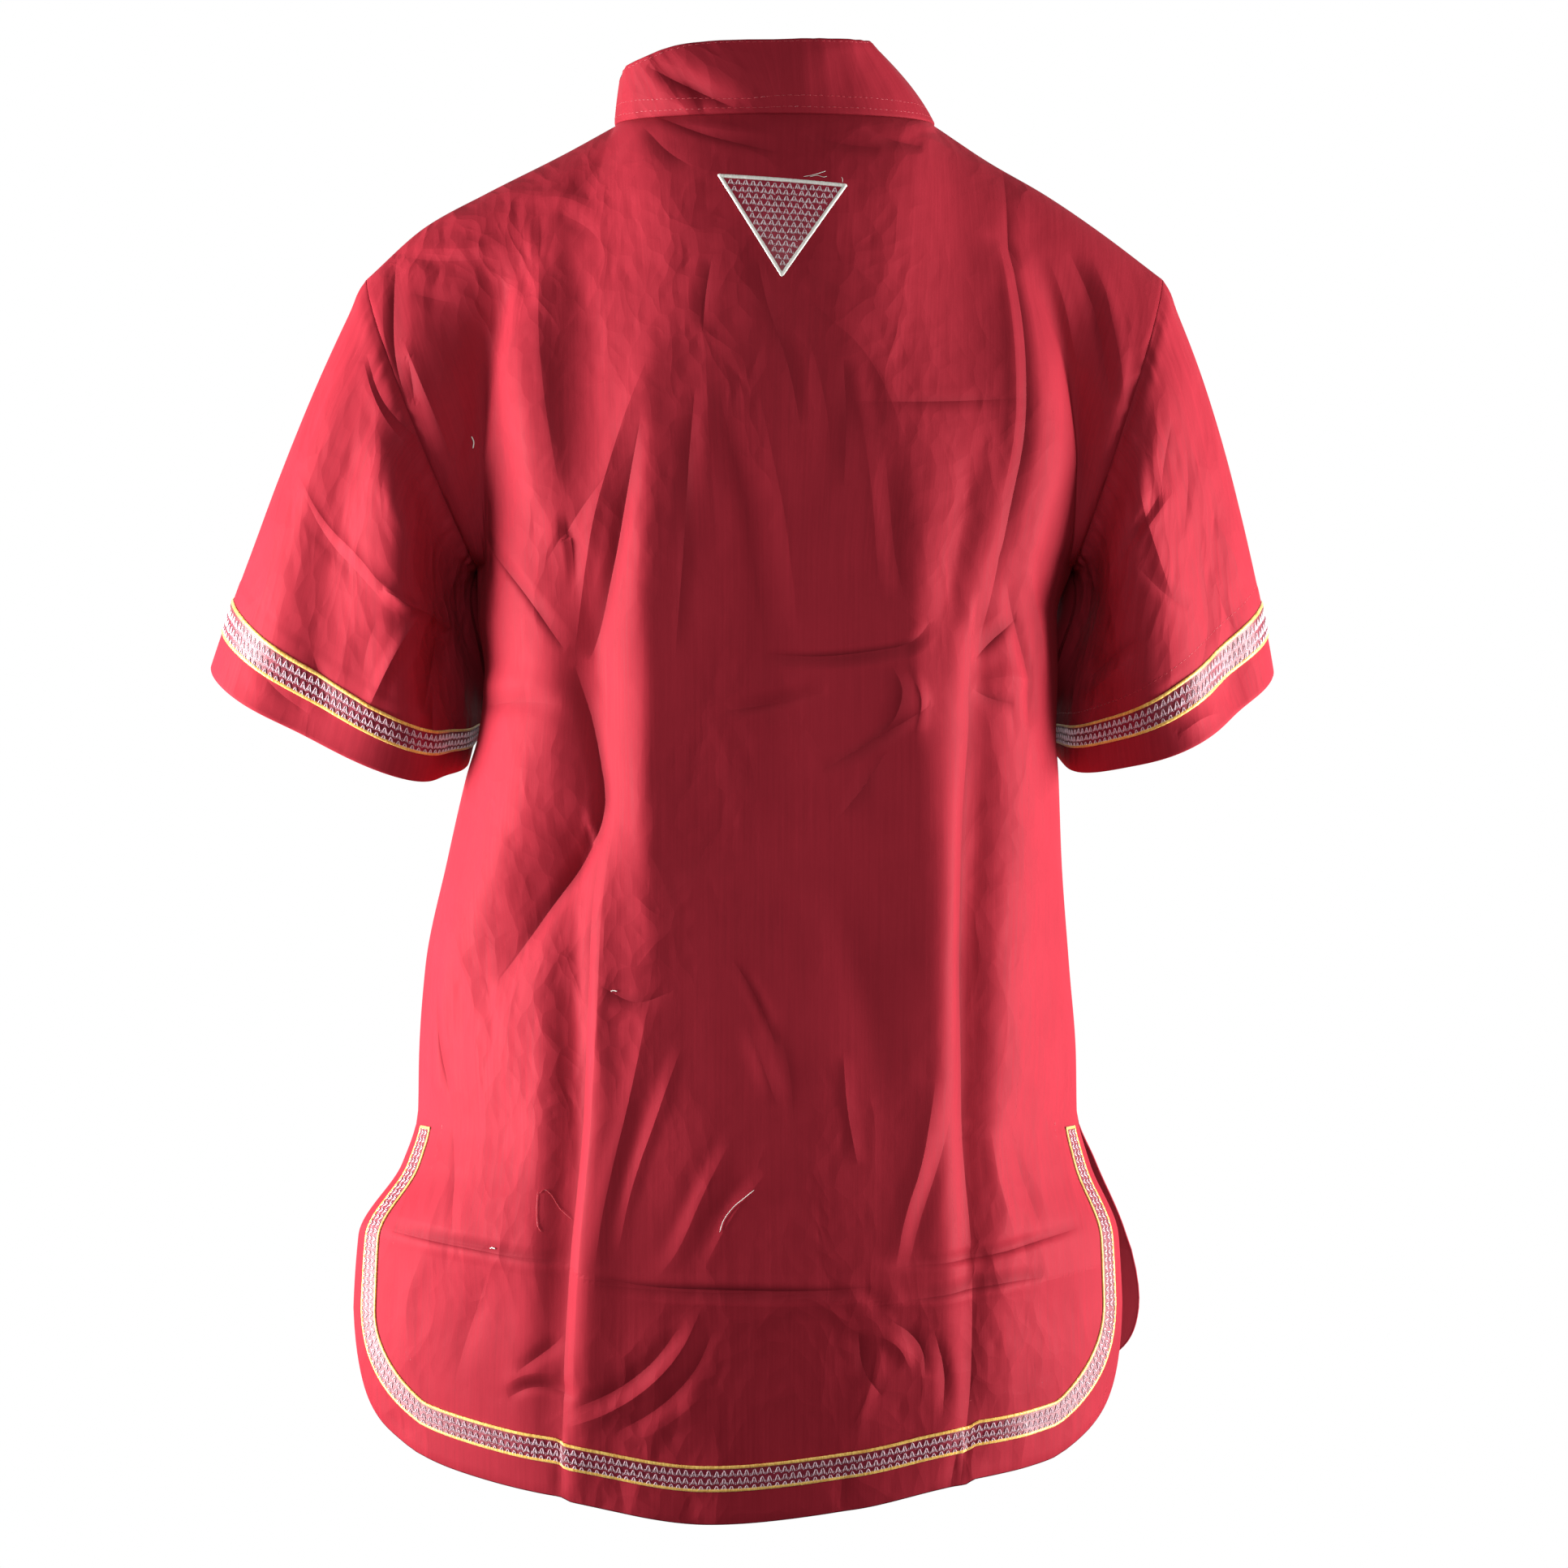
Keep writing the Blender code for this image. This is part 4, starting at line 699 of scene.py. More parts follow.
class Patch:
    """Points with four-cornered faces between them, and what the cloth is like at each point."""

    def __init__(self):
        self.points = []
        self.faces = []
        self.uv = []
        self.doubled = []     # numbers of the points where the cloth is a turned hem
        self.tilt = None      # height of the bump that tilts the cloth under the press line

    def add(self, points, uv=None):
        """Adds points and their cloth coordinates, and gives the points' numbers."""
        points = np.asarray(points, float)
        first = sum(len(p) for p in self.points)
        self.points.append(points.reshape(-1, 3))
        if uv is not None:
            self.uv.append(uv)
        return np.arange(first, first + points.size // 3).reshape(points.shape[:-1])

    def array(self):
        if len(self.points) > 1:
            self.points = [np.concatenate(self.points)]
        return self.points[0]

    def fill(self, grid):
        """Faces between neighbouring rows of numbers."""
        for a, b in zip(grid, grid[1:]):
            self.faces.append(np.stack((a[:-1], a[1:], b[1:], b[:-1]), 1))

    def finish(self):
        self.faces = np.concatenate(self.faces)
        self.uv = np.concatenate(self.uv)
        self.plain(0.0)
        for numbers in self.doubled:
            self.thick[numbers] = 1.0

    def plain(self, thick):
        """Cloth of one thickness with no cores."""
        count = len(self.array())
        self.thick = np.full(count, thick)
        self.cores = np.tile((LAYER_FREE, 0.0, 0.0), (LAYERS, count, 1))


# ---------------------------------------------------------------- body

SHARES = 129              # samples across half a panel
SECTION_STEPS = 97        # samples across half a cross section
STEP = 0.001              # between sampled heights
LOWEST = -0.800
NECK_SHARE = 6 / 14 * (1.0 - SIDE_FRACTION)      # share of a half panel that the neckline takes
RING_STEPS = (3, 4, 4)    # between the named edge rings, so that they are about 4 mm apart
SLIT_LOOSE = 0.05         # below the top of a slit its free edge comes to follow the folds
SEAM_CALM = 0.022         # from a side seam to where the folds have their full height
YOKE_CALM = 0.16          # share of the yoke's height in which its folds begin
ARMHOLE_CALM = 0.030      # from the armhole to where they have their full height
YOKE_CALM_FINE = 0.03     # the same two for creases and small waves
ARMHOLE_CALM_FINE = 0.012
YOKE_ROUNDED = 0.14       # share of the yoke's height in which the corners above are rounded
FINE_RINGS = [
    tuple(x + (y - x) * (k / steps) for x, y in zip(a, b))
    for a, b, steps in zip(EDGE_RINGS, EDGE_RINGS[1:], RING_STEPS) for k in range(steps)
] + [EDGE_RINGS[-1]]


def half_section(z, side, face):
    """Dense points of one half of a panel's cross section, from its middle to its side."""
    seam_face = BACK if z >= SLIT_TOP else face
    half = follow(z, BODY[seam_face], 1 if side == LEFT else 2)
    reach = follow(z, BODY[face], 3)
    edge = follow(z, BODY[face], 4)
    end = math.radians(follow(z, BODY[face], 5))
    turn = np.linspace(0.0, end, SECTION_STEPS)
    power = 2 / SQUARENESS
    breadth = np.sin(turn) ** power / math.sin(end) ** power
    foot = max(math.cos(end), 0.0) ** power
    depth = (np.maximum(np.cos(turn), 0.0) ** power - foot) / (1.0 - foot)
    x = half * breadth
    y = edge + (reach - edge) * depth
    length = np.concatenate(([0.0], np.cumsum(np.hypot(np.diff(x), np.diff(y)))))
    return x, y, length


class Body:
    """One panel's smooth surface, sampled once and then read by interpolation."""

    def __init__(self, face):
        self.heights = np.arange(LOWEST, UNDERARM + STEP / 2, STEP)
        count = len(self.heights)
        self.x = np.empty((2, count, SHARES))
        self.y = np.empty((2, count, SHARES))
        self.length = np.empty((2, count))
        for half, side in enumerate((RIGHT, LEFT)):
            for k, z in enumerate(self.heights):
                x, y, s = half_section(z, side, face)
                at = np.linspace(0.0, s[-1], SHARES)
                self.x[half, k] = side * np.interp(at, s, x)
                self.y[half, k] = face * np.interp(at, s, y)
                self.length[half, k] = s[-1]

    def half_length(self, z, u):
        """Length of cloth from the middle to the side on which u lies."""
        right, left = (np.interp(z, self.heights, length) for length in self.length)
        return np.where(np.asarray(u) >= 0, left, right)

    def point(self, u, z):
        """Points at share u of the half panel, + to the left, and height z."""
        u, z = np.broadcast_arrays(np.asarray(u, float), np.asarray(z, float))
        half = (u >= 0).astype(int)
        row = np.clip((z - self.heights[0]) / STEP, 0, len(self.heights) - 1.001)
        col = np.clip(np.abs(u), 0.0, 1.0) * (SHARES - 1.001)
        i, j = row.astype(int), col.astype(int)
        a, b = row - i, col - j
        out = np.empty(u.shape + (3,))
        for axis, table in enumerate((self.x, self.y)):
            low = table[half, i, j] * (1 - b) + table[half, i, j + 1] * b
            high = table[half, i + 1, j] * (1 - b) + table[half, i + 1, j + 1] * b
            out[..., axis] = low * (1 - a) + high * a
        out[..., 2] = z
        return out


class Panel:
    """A panel with its folds: a fine mesh, and any point of its lower part on demand."""

    def __init__(self, face, plain, yoke_rows, waist_rows, slit_rows, corner_steps, seed):
        self.face = face
        self.plain = plain                # columns between the edge rings
        self.yoke_rows = yoke_rows
        self.slit_rows = slit_rows
        self.corner_steps = corner_steps
        self.neck = plain * 6 // 28       # columns from the middle to the neckline's end
        self.neck_slit_rows = yoke_rows * 7 // 11
        self.body = Body(face)
        self.grain = Grain(seed)
        self.reach = 0.5 * float(self.body.half_length(UNDERARM, 1.0)
                                 + self.body.half_length(UNDERARM, -1.0))
        self.build(waist_rows)

    def flat(self, u, z):
        """Cloth coordinates below the underarm: distance from the centre and height."""
        return pairs(u * self.body.half_length(z, u), z)

    def lower(self, u, z):
        """Folded points of the part below the underarm."""
        points = self.body.point(u, z)
        length = self.body.half_length(z, u)
        loose = ease((SLIT_TOP - z) / SLIT_LOOSE)
        fade = ease((1.0 - np.abs(u)) * length / SEAM_CALM) * (1 - loose) + loose
        s, z = u * length, np.asarray(z, float)
        height = fold_height(s, z, FOLDS[self.face])
        height = height + crease_height(s, z, CREASES[self.face])
        height = (height + GRAIN_RISE * self.grain(s, z)) * fade
        return points + away_from_axis(points) * height[..., None]

    def columns(self):
        """Shares of the half panel at which the upper mesh has its columns."""
        plain = np.linspace(-1.0, 1.0, self.plain + 1) * (1.0 - SIDE_FRACTION)
        inset = [ring[0] / EDGE_RINGS[-1][0] * SIDE_FRACTION for ring in FINE_RINGS[:-1]]
        right = [-1.0 + share for share in inset]
        left = [1.0 - share for share in reversed(inset)]
        return np.concatenate((right, plain, left))

    def top_edge(self, u):
        """Neckline and shoulder seam at share u of the half panel."""
        face = self.face
        points = np.empty(np.shape(u) + (3,))
        for k, share in enumerate(u):
            side = LEFT if share >= 0 else RIGHT
            seam = SHOULDER[side]
            if abs(share) <= NECK_SHARE + 1e-9:
                turn = abs(share) / NECK_SHARE * math.pi / 2
                x = side * seam[0][0] * math.sin(turn)
                y = face * NECK_REACH[face] * math.cos(turn)
                z = -NECK_DROP[face] * max(math.cos(turn), 0.0) ** 1.4
            else:
                along = (abs(share) - NECK_SHARE) / (1.0 - NECK_SHARE)
                distance = seam[0][0] + along * (seam[-1][0] - seam[0][0])
                x, y, z = side * distance, 0.0, float(follow(distance, seam, 1))
            points[k] = (x, y, z)
        return points

    def yoke(self, u, v):
        """Smooth points of the part above the underarm, v runs down from 0 to 1."""
        face = self.face
        start = self.top_edge(u)
        soft = smoothed(start, len(u) // 9)
        calm = ease(v / YOKE_ROUNDED)[:, None, None]
        start = start[None] * (1.0 - calm) + soft[None] * calm
        end = self.body.point(u, UNDERARM)
        below = self.body.point(u, UNDERARM - 0.01)
        drop = (soft[:, 2] - UNDERARM)[:, None]
        neckness = ease(1.0 - np.abs(u) / NECK_SHARE)[:, None]
        sideness = ease((np.abs(u) - ARMHOLE_SHARE) / (1.0 - ARMHOLE_SHARE))[:, None]
        over_shoulder = np.array([0.0, face * SHOULDER_LEAVE[0], SHOULDER_LEAVE[1]])
        from_neck = np.array([0.0, face * NECK_LEAVE[0], NECK_LEAVE[1]])
        leave = (over_shoulder * (1.0 - neckness) + from_neck * neckness) * drop * 0.95
        arrive = (below - end) / 0.01 * drop * 1.05
        bulge = face * 4.0 * ARMHOLE_REACH[face]
        inward = -np.sign(u)[:, None] * np.array([ARMHOLE_LEAVE[0], 0.0, 0.0])
        leave_armhole = np.array([0.0, bulge, ARMHOLE_LEAVE[1]]) + inward
        arrive_armhole = np.array([0.0, -bulge, 0.0])
        leave = leave * (1.0 - sideness) + leave_armhole * sideness
        arrive = arrive * (1.0 - sideness) + arrive_armhole * sideness
        leave = smoothed(leave, len(u) // 16)
        return hermite(start, end[None], leave[None], arrive[None], v[:, None, None])

    def edge_path(self, ring):
        """(share, height) along a line that follows slit, rounded corner, hem, corner and slit."""
        inset, rise, sharpness = ring
        face = self.face
        body = self.body

        def hem_height(u):
            x = body.point(u, HEM_LEVEL)[..., 0]
            jog = sum(size * ease((x - at) / wide + 0.5) * math.exp(-max(x - at, 0.0) / fade)
                      for at, wide, fade, size in HEM_JOGS)
            return float(follow(x, HEM[face], 1)) + rise + float(jog)

        def share(side, s, z):
            return side * s / float(body.half_length(z, side))

        halves = {}
        for side in (RIGHT, LEFT):
            corner_z = float(follow(side, HEM_ENDS[face], 1))
            z = corner_z + rise
            s = float(body.half_length(z, side)) - inset
            s_end = float(body.half_length(corner_z, side)) - CORNER_SIZE
            foot = (s_end, hem_height(share(side, s_end, z)))
            down = np.linspace(SLIT_TOP - TRIM_START, corner_z + CORNER_SIZE, self.slit_rows)
            down = np.concatenate(([SLIT_TOP], down))
            places = [(float(body.half_length(h, side)) - inset, h) for h in down]
            start = places[-1]
            for step in range(1, self.corner_steps):
                t = step / self.corner_steps
                a = (1 - t) ** 2
                b = 2 * t * (1 - t) * sharpness
                c = t * t
                p = (a * start[0] + b * s + c * foot[0]) / (a + b + c)
                h = (a * start[1] + b * z + c * foot[1]) / (a + b + c)
                places.append((p, h))
            halves[side] = [(share(side, p, h), h) for p, h in places], foot[0]
        right, right_foot = halves[RIGHT]
        left, left_foot = halves[LEFT]
        hem = []
        for s in np.linspace(-right_foot, left_foot, self.plain - self.corner_steps + 1):
            side = LEFT if s >= 0 else RIGHT
            z = hem_height(share(side, abs(s), HEM_LEVEL))
            z = hem_height(share(side, abs(s), z))
            hem.append((share(side, abs(s), z), z))
        return np.array(right + hem + left[::-1])

    def folded_yoke(self, u, v, s):
        """The part above the underarm with its folds and creases."""
        top = self.yoke(u, v)
        z = top[..., 2]
        from_side = (1.0 - np.abs(u)) * self.reach
        folds = fold_height(s, z, FOLDS[self.face])
        folds = folds * (ease(v / YOKE_CALM)[:, None] * ease(from_side / ARMHOLE_CALM)[None])
        fine = crease_height(s, z, CREASES[self.face]) + GRAIN_RISE * self.grain(s, z)
        begin = ease(v / YOKE_CALM_FINE)[:, None]
        fine = fine * (begin * ease(from_side / ARMHOLE_CALM_FINE)[None])
        outward = away_from_axis(top)
        lowness = ease((v - 0.55) / 0.45)[:, None, None]
        direction = grid_normals(top) * self.face * (1 - lowness) + outward * lowness
        return top + outward * folds[..., None] + direction * fine[..., None]

    def build(self, waist_rows):
        """The mesh: yoke and waist as one grid, rings along slits and hem, a block inside them."""
        patch = Patch()
        u = self.columns()
        v = np.linspace(0.0, 1.0, self.yoke_rows + 1)
        s = np.broadcast_to(u * self.reach, (len(v), len(u)))
        top = self.folded_yoke(u, v, s)
        rise = np.linalg.norm(np.diff(top, axis=0), axis=-1)
        climb = np.concatenate((np.cumsum(rise[::-1], axis=0)[::-1], np.zeros((1, len(u)))))
        uu, zz = np.meshgrid(u, np.linspace(UNDERARM, SLIT_TOP, waist_rows + 1)[1:])
        grid = patch.add(np.concatenate((top, self.lower(uu, zz))),
                         np.concatenate((pairs(s, UNDERARM + climb), self.flat(uu, zz))))

        last = len(u) - 1
        rings = []
        for number, ring in enumerate(FINE_RINGS):
            path = self.edge_path(ring)
            numbers = patch.add(self.lower(*path.T), self.flat(*path.T))
            numbers[0] = grid[-1][number]
            numbers[-1] = grid[-1][last - number]
            rings.append(numbers)
        patch.doubled = [numbers[2:-2] for numbers in rings[:-1]]

        rows = self.slit_rows + self.corner_steps // 2
        edges = len(FINE_RINGS) - 1
        inner = rings[-1]
        top_row = grid[-1][edges:last - edges + 1]
        top_u = u[edges:last - edges + 1]
        top_path = np.stack((top_u, np.full(len(top_u), SLIT_TOP)), axis=1)
        hem_path = path[rows:len(path) - rows]
        across = np.linspace(0.0, 1.0, len(top_u))[:, None]
        block = [top_row]
        for row in range(1, rows):
            down = row / rows
            sides = path[row] * (1 - across) + path[-1 - row] * across
            ends = top_path * (1 - down) + hem_path * down
            corners = (1 - down) * ((1 - across) * top_path[0] + across * top_path[-1])
            corners = corners + down * ((1 - across) * hem_path[0] + across * hem_path[-1])
            place = (sides + ends - corners)[1:-1]
            numbers = patch.add(self.lower(*place.T), self.flat(*place.T))
            block.append(np.concatenate(([inner[row]], numbers, [inner[len(path) - 1 - row]])))
        block.append(inner[rows:len(path) - rows])

        if self.face == FRONT:
            self.open_slit(patch, grid)
        patch.fill(grid)
        for outer, within in zip(rings, rings[1:]):
            patch.fill((within, outer))
        patch.fill(block)
        patch.finish()
        height = patch.array()[:, 2]
        s = patch.uv[:, 0]
        put_cores(s, height, CREASES[self.face], np.ones(len(height)), patch.cores)
        below = np.maximum(follow(s, HEM_PRESS, 1) - height, 0.0)
        slope, hem_slope, reach = HEM_TILT
        patch.tilt = hem_slope * below + slope * reach * (1.0 - np.exp(-below / reach))
        if self.face == FRONT:
            self.use_slit(patch, grid)
            patch.faces = patch.faces[:, ::-1]
        self.patch, self.grid = patch, grid

    def open_slit(self, patch, grid):
        """Splits the middle column above the slit's foot and spreads its two edges."""
        points = patch.array()
        self.slit = {}
        extra = []
        for row in range(self.neck_slit_rows):
            number = int(grid[row][grid.shape[1] // 2])
            width = NECK_SLIT_WIDTH / 2 * min(1.0, (self.neck_slit_rows - row) / 5)
            copy = points[number].copy()
            copy[0] -= width
            points[number, 0] += width
            self.slit[number] = len(points) + len(extra)
            extra.append(copy)
        patch.points = [np.concatenate((points, extra))]
        patch.uv.append(np.concatenate(patch.uv)[list(self.slit)])

    def use_slit(self, patch, grid):
        """Gives the faces on the wearer's right of the slit their own edge."""
        right = np.zeros(len(patch.array()), bool)
        right[grid[:self.neck_slit_rows + 1, grid.shape[1] // 2 - 1]] = True
        touch = right[patch.faces].any(axis=1)
        swap = np.arange(len(patch.array()))
        swap[list(self.slit)] = list(self.slit.values())
        patch.faces[touch] = swap[patch.faces[touch]]


# ---------------------------------------------------------------- sleeves and collar

ARM_RADIUS = 0.067        # mean radius of a sleeve, for the cloth coordinates round it
CUFF_DOUBLE = 0.0385      # depth of a cuff's turned hem
SEAM_WAVE = 0.0125        # length of the ripples beside the armhole seam
FOLD_BEGIN = 0.15         # share of a sleeve's length in which its folds begin
FINE_BEGIN = 0.02         # the same for creases, ripples and small waves
SLEEVE_EDGE = 0.30        # sine of the turn where a side's creases have their full height
COLLAR_EDGE = 0.25
COLLAR_BEGIN = 0.12       # share of the collar's height in which its creases begin
COLLAR_HEIGHT = 0.045
COLLAR_WAVE = 0.017


def facing(turn, face, edge):
    """1 where a place at that turn looks to the back or the front, 0 where it looks away."""
    return ease(face * np.sin(turn)[None] / edge)


class Sleeve:
    """A sleeve from the panels' armhole edges to the cuff, with any line round it on demand."""

    def __init__(self, side, back, front, rows, seed):
        column = -1 if side == LEFT else 0
        back_edge, front_edge = (
            panel.patch.array()[panel.grid[:panel.yoke_rows + 1, column]]
            for panel in (back, front))
        armhole = np.concatenate((back_edge, front_edge[-2:0:-1]))
        back_turn = np.linspace(0.0, math.pi, len(back_edge))
        front_turn = 2 * math.pi - np.linspace(0.0, math.pi, len(front_edge))
        self.turn = turn = np.concatenate((back_turn, front_turn[-2:0:-1]))
        self.share = share = np.linspace(0.0, 1.0, rows + 1)
        smooth = self.smooth_tube(side, armhole)
        outward = smooth - smooth.mean(axis=1, keepdims=True)
        radius = np.linalg.norm(outward, axis=-1, keepdims=True)
        outward /= radius
        tube = self.folded(side, smooth, outward, radius[..., 0])
        begin = ease(share / FINE_BEGIN)[:, None]
        weights = {face: facing(turn, face, SLEEVE_EDGE) for face in (BACK, FRONT)}

        way = np.where(turn > math.pi, turn - 2 * math.pi, turn)
        around, down = np.broadcast_arrays(way[None] * ARM_RADIUS, share[:, None] * self.span)
        flat = pairs(around, -down)
        height = GRAIN_RISE * Grain(seed)(around, down)
        for face, weight in weights.items():
            small = crease_height(tube[..., 0], tube[..., 2], SLEEVE_CREASES[side, face])
            height = height + small * weight
        ripple = np.sin(around / SEAM_WAVE * ROUND + 1.5 * np.sin(around / 0.031 * ROUND))
        at_seam = np.exp(-((down - 0.006) / 0.006) ** 2)
        height = (height + at_seam * (0.0009 + 0.00045 * ripple)) * begin
        around = np.roll(tube, -1, 1) - np.roll(tube, 1, 1)
        normal = unit(np.cross(np.gradient(tube, axis=0), around))
        normal *= np.sign(np.sum(normal * outward, axis=-1, keepdims=True))
        tube = tube + normal * height[..., None]
        tube[0] = armhole
        self.tube = tube

        patch = Patch()
        grid = patch.add(tube, flat)
        patch.doubled = [grid[(1.0 - share) * self.span < CUFF_DOUBLE]]
        closed = np.concatenate((grid, grid[:, :1]), axis=1)
        patch.fill(closed[:, ::-1] if side == LEFT else closed)
        patch.finish()
        for face, weight in weights.items():
            put_cores(tube[..., 0].ravel(), tube[..., 2].ravel(), SLEEVE_CREASES[side, face],
                      (weight * begin).ravel(), patch.cores)
        self.patch = patch

    def smooth_tube(self, side, armhole):
        """The sleeve's surface between the armhole and the cuff's ellipse."""
        turn = self.turn
        size = SLEEVES[side]
        slope, plan, lean_top, lean_cuff = (
            math.radians(size[key]) for key in ("slope", "plan", "lean_top", "lean_cuff"))
        out = np.array([side * math.cos(slope) * math.cos(plan), math.sin(plan), math.sin(slope)])
        aft = np.array([-side * math.sin(plan), math.cos(plan), 0.0]) * size["depth"]
        aft[2] = -size["drop"]
        cuff = np.array(size["cuff"]) + np.cos(turn)[:, None] * size["breadth"] * out
        cuff = cuff + np.sin(turn)[:, None] * aft
        chord = np.linalg.norm(cuff - armhole, axis=1)[:, None]
        lower = ((1 - np.cos(turn)) / 2)[:, None]
        over = np.array([side * math.sin(lean_top), 0.0, -math.cos(lean_top)])
        under = np.array([side * UNDERARM_LEAVE[0], 0.0, UNDERARM_LEAVE[1]])
        leave = (over * (1 - lower) + under * lower) * chord
        leave = leave + triple(0.0, np.sin(turn) * 0.05, 0.0)
        arrive = np.array([side * math.sin(lean_cuff), -0.15, -math.cos(lean_cuff)]) * chord
        self.span = float(np.mean(chord))
        along = self.share[:, None, None]
        return hermite(armhole[None], cuff[None], leave[None], arrive[None], along)

    def folded(self, side, tube, outward, radius):
        """The tube with its large folds, and with its fullness under the arm."""
        share = self.share
        degrees = np.degrees(self.turn)
        fade = ease(share / FOLD_BEGIN)[:, None]
        for (turn_a, share_a), (turn_b, share_b), width, rise in SLEEVE_FOLDS[side]:
            along = np.clip((share - share_a) / (share_b - share_a), 0.0, 1.0)
            line = turn_a + (turn_b - turn_a) * along
            away = np.radians(degrees[None] - line[:, None]) * radius
            beyond = (share - np.clip(share, share_a, share_b)) * self.span
            bell = np.exp(-(away / width) ** 2 - (beyond[:, None] / width) ** 2)
            tube = tube + outward * (rise * bell * fade)[..., None]
        for middle, reach, first, full, gone, rise in SLEEVE_FULLNESS[side]:
            bell = np.exp(-((degrees - middle) / reach) ** 2)[None]
            along = ease((share - first) / (full - first)) * ease((gone - share) / 0.10)
            tube[..., 0] -= side * rise * bell * along[:, None]
        return tube

    def line(self, distance):
        """The ring of points at a distance from the cuff's edge, from the underarm seam round."""
        row = (1.0 - distance / self.span) * (len(self.share) - 1)
        k = min(int(row), len(self.share) - 2)
        ring = self.tube[k] * (1 - row + k) + self.tube[k + 1] * (row - k)
        start = int(np.argmin(np.abs(self.turn - math.pi)))
        ring = np.roll(ring, -start, axis=0)
        return np.concatenate((ring, ring[:1]))


class Collar:
    """Band that stands on the neckline, open in the middle of the front."""

    def __init__(self, back, front, rows):
        half = front.neck
        middle = back.grid.shape[1] // 2
        span = np.arange(middle - back.neck, middle + back.neck + 1)
        back_edge = back.patch.array()[back.grid[0][span[::-1]]]
        middle = front.grid.shape[1] // 2
        points = front.patch.array()
        left_slit = int(front.grid[0][middle])
        edge = points[front.grid[0][middle - half:middle + half + 1]]
        left = np.concatenate((points[left_slit][None], edge[half + 1:-1]))
        right = np.concatenate((edge[1:half], points[front.slit[left_slit]][None]))
        foot = np.concatenate((left, back_edge, right))
        turn = np.concatenate((
            -90.0 + 90.0 * np.arange(half) / half,
            np.linspace(0.0, 180.0, len(back_edge)),
            180.0 + 90.0 * np.arange(1, half + 1) / half,
        ))
        self.share = np.linspace(0.0, 1.0, rows + 1)
        top = self.top_edge(turn)
        rise = top - foot
        leave = rise * np.array([0.7, 0.7, 1.1])
        arrive = rise * np.array([1.2, 1.2, 0.9])
        up = self.share[:, None, None]
        band = hermite(foot[None], top[None], leave[None], arrive[None], up)
        normal = grid_normals(band)
        outward = band - band.mean(axis=(0, 1))
        outward[..., 2] = 0.0
        normal *= np.sign(np.sum(normal * outward, axis=-1, keepdims=True))
        steps = np.linalg.norm(np.diff(band[rows // 2], axis=0), axis=1)
        along = np.concatenate(([0.0], np.cumsum(steps)))[None]
        weight = facing(np.radians(turn), BACK, COLLAR_EDGE)
        begin = ease(self.share / COLLAR_BEGIN)[:, None]
        height = crease_height(band[..., 0], band[..., 2], COLLAR_CREASES) * weight
        bend = 1.6 * np.sin(along / 0.041 * ROUND)
        height = (height + 0.00025 * np.sin(along / COLLAR_WAVE * ROUND + bend)) * begin
        band = band + normal * height[..., None]
        self.band = band
        patch = Patch()
        patch.fill(patch.add(band, pairs(along, self.share[:, None] * COLLAR_HEIGHT)))
        patch.finish()
        put_cores(band[..., 0].ravel(), band[..., 2].ravel(), COLLAR_CREASES,
                  (weight * begin).ravel(), patch.cores)
        self.patch = patch

    @staticmethod
    def top_edge(turn):
        """The collar's upper edge, a rounded box that parts in the middle of the front."""
        angle = np.radians(turn)
        boxy = 1.0 - 0.48 * ease(np.sin(angle) / 0.5)
        x, y = (centre + half * np.sign(wave) * np.abs(wave) ** boxy for centre, half, wave
                in zip(COLLAR_CENTRE, COLLAR_HALF, (np.cos(angle), np.sin(angle))))
        centre_front = np.abs(turn - 90.0) / 180.0
        x = x + np.where(turn < 90.0, 1.0, -1.0) * COLLAR_SPREAD * ease((centre_front - 0.9) / 0.1)
        x = x - COLLAR_CENTRE[0] * ease((centre_front - 0.55) / 0.45)
        return triple(x, y, follow(turn, COLLAR_TOP, 1))

    def line(self, distance):
        """Points at a distance above the seam."""
        length = np.linalg.norm(self.band[-1] - self.band[0], axis=-1)
        row = np.clip(distance / length, 0.0, 1.0) * (len(self.share) - 1.001)
        k = row.astype(int)
        at = np.arange(len(length))
        part = (row - k)[:, None]
        return self.band[k, at] * (1 - part) + self.band[k + 1, at] * part


# ---------------------------------------------------------------- shells

def vertex_normals(points, faces):
    a, b, c, d = (points[faces[:, k]] for k in range(4))
    normal = np.cross(c - a, d - b)
    total = np.zeros_like(points)
    for k in range(4):
        np.add.at(total, faces[:, k], normal)
    return unit(total)


def open_edges(faces):
    """Directed edges that only one face has."""
    ends = np.concatenate([faces[:, (k, (k + 1) % 4)] for k in range(4)]).astype(np.int64)
    size = int(faces.max()) + 1
    return ends[~np.isin(ends @ (size, 1), ends @ (1, size))]


def make_mesh(name, points, faces, uv=None, smooth=True):
    """Mesh from an array of points and a list of arrays of faces."""
    mesh = bpy.data.meshes.new(name)
    mesh.from_pydata(points.tolist(), [], [face for part in faces for face in part.tolist()])
    if uv is not None:
        layer = mesh.uv_layers.new(name="cloth")
        loops = np.empty(len(mesh.loops), np.int32)
        mesh.loops.foreach_get("vertex_index", loops)
        layer.data.foreach_set("uv", np.asarray(uv, np.float32)[loops].ravel())
    if smooth:
        mesh.shade_smooth()
    return mesh


def link(name, mesh, finish):
    """A piece of the scene with that mesh."""
    piece = bpy.data.objects.new(name, mesh)
    mesh.materials.append(finish)
    bpy.context.scene.collection.objects.link(piece)
    return piece


def merged(name, parts, finish):
    """One piece from parts, each of which is points, a list of arrays of faces, and uv."""
    faces, first = [], 0
    for points, arrays, _ in parts:
        faces += [array + first for array in arrays]
        first += len(points)
    points, _, uv = zip(*parts)
    return link(name, make_mesh(name, np.concatenate(points), faces, np.concatenate(uv)), finish)


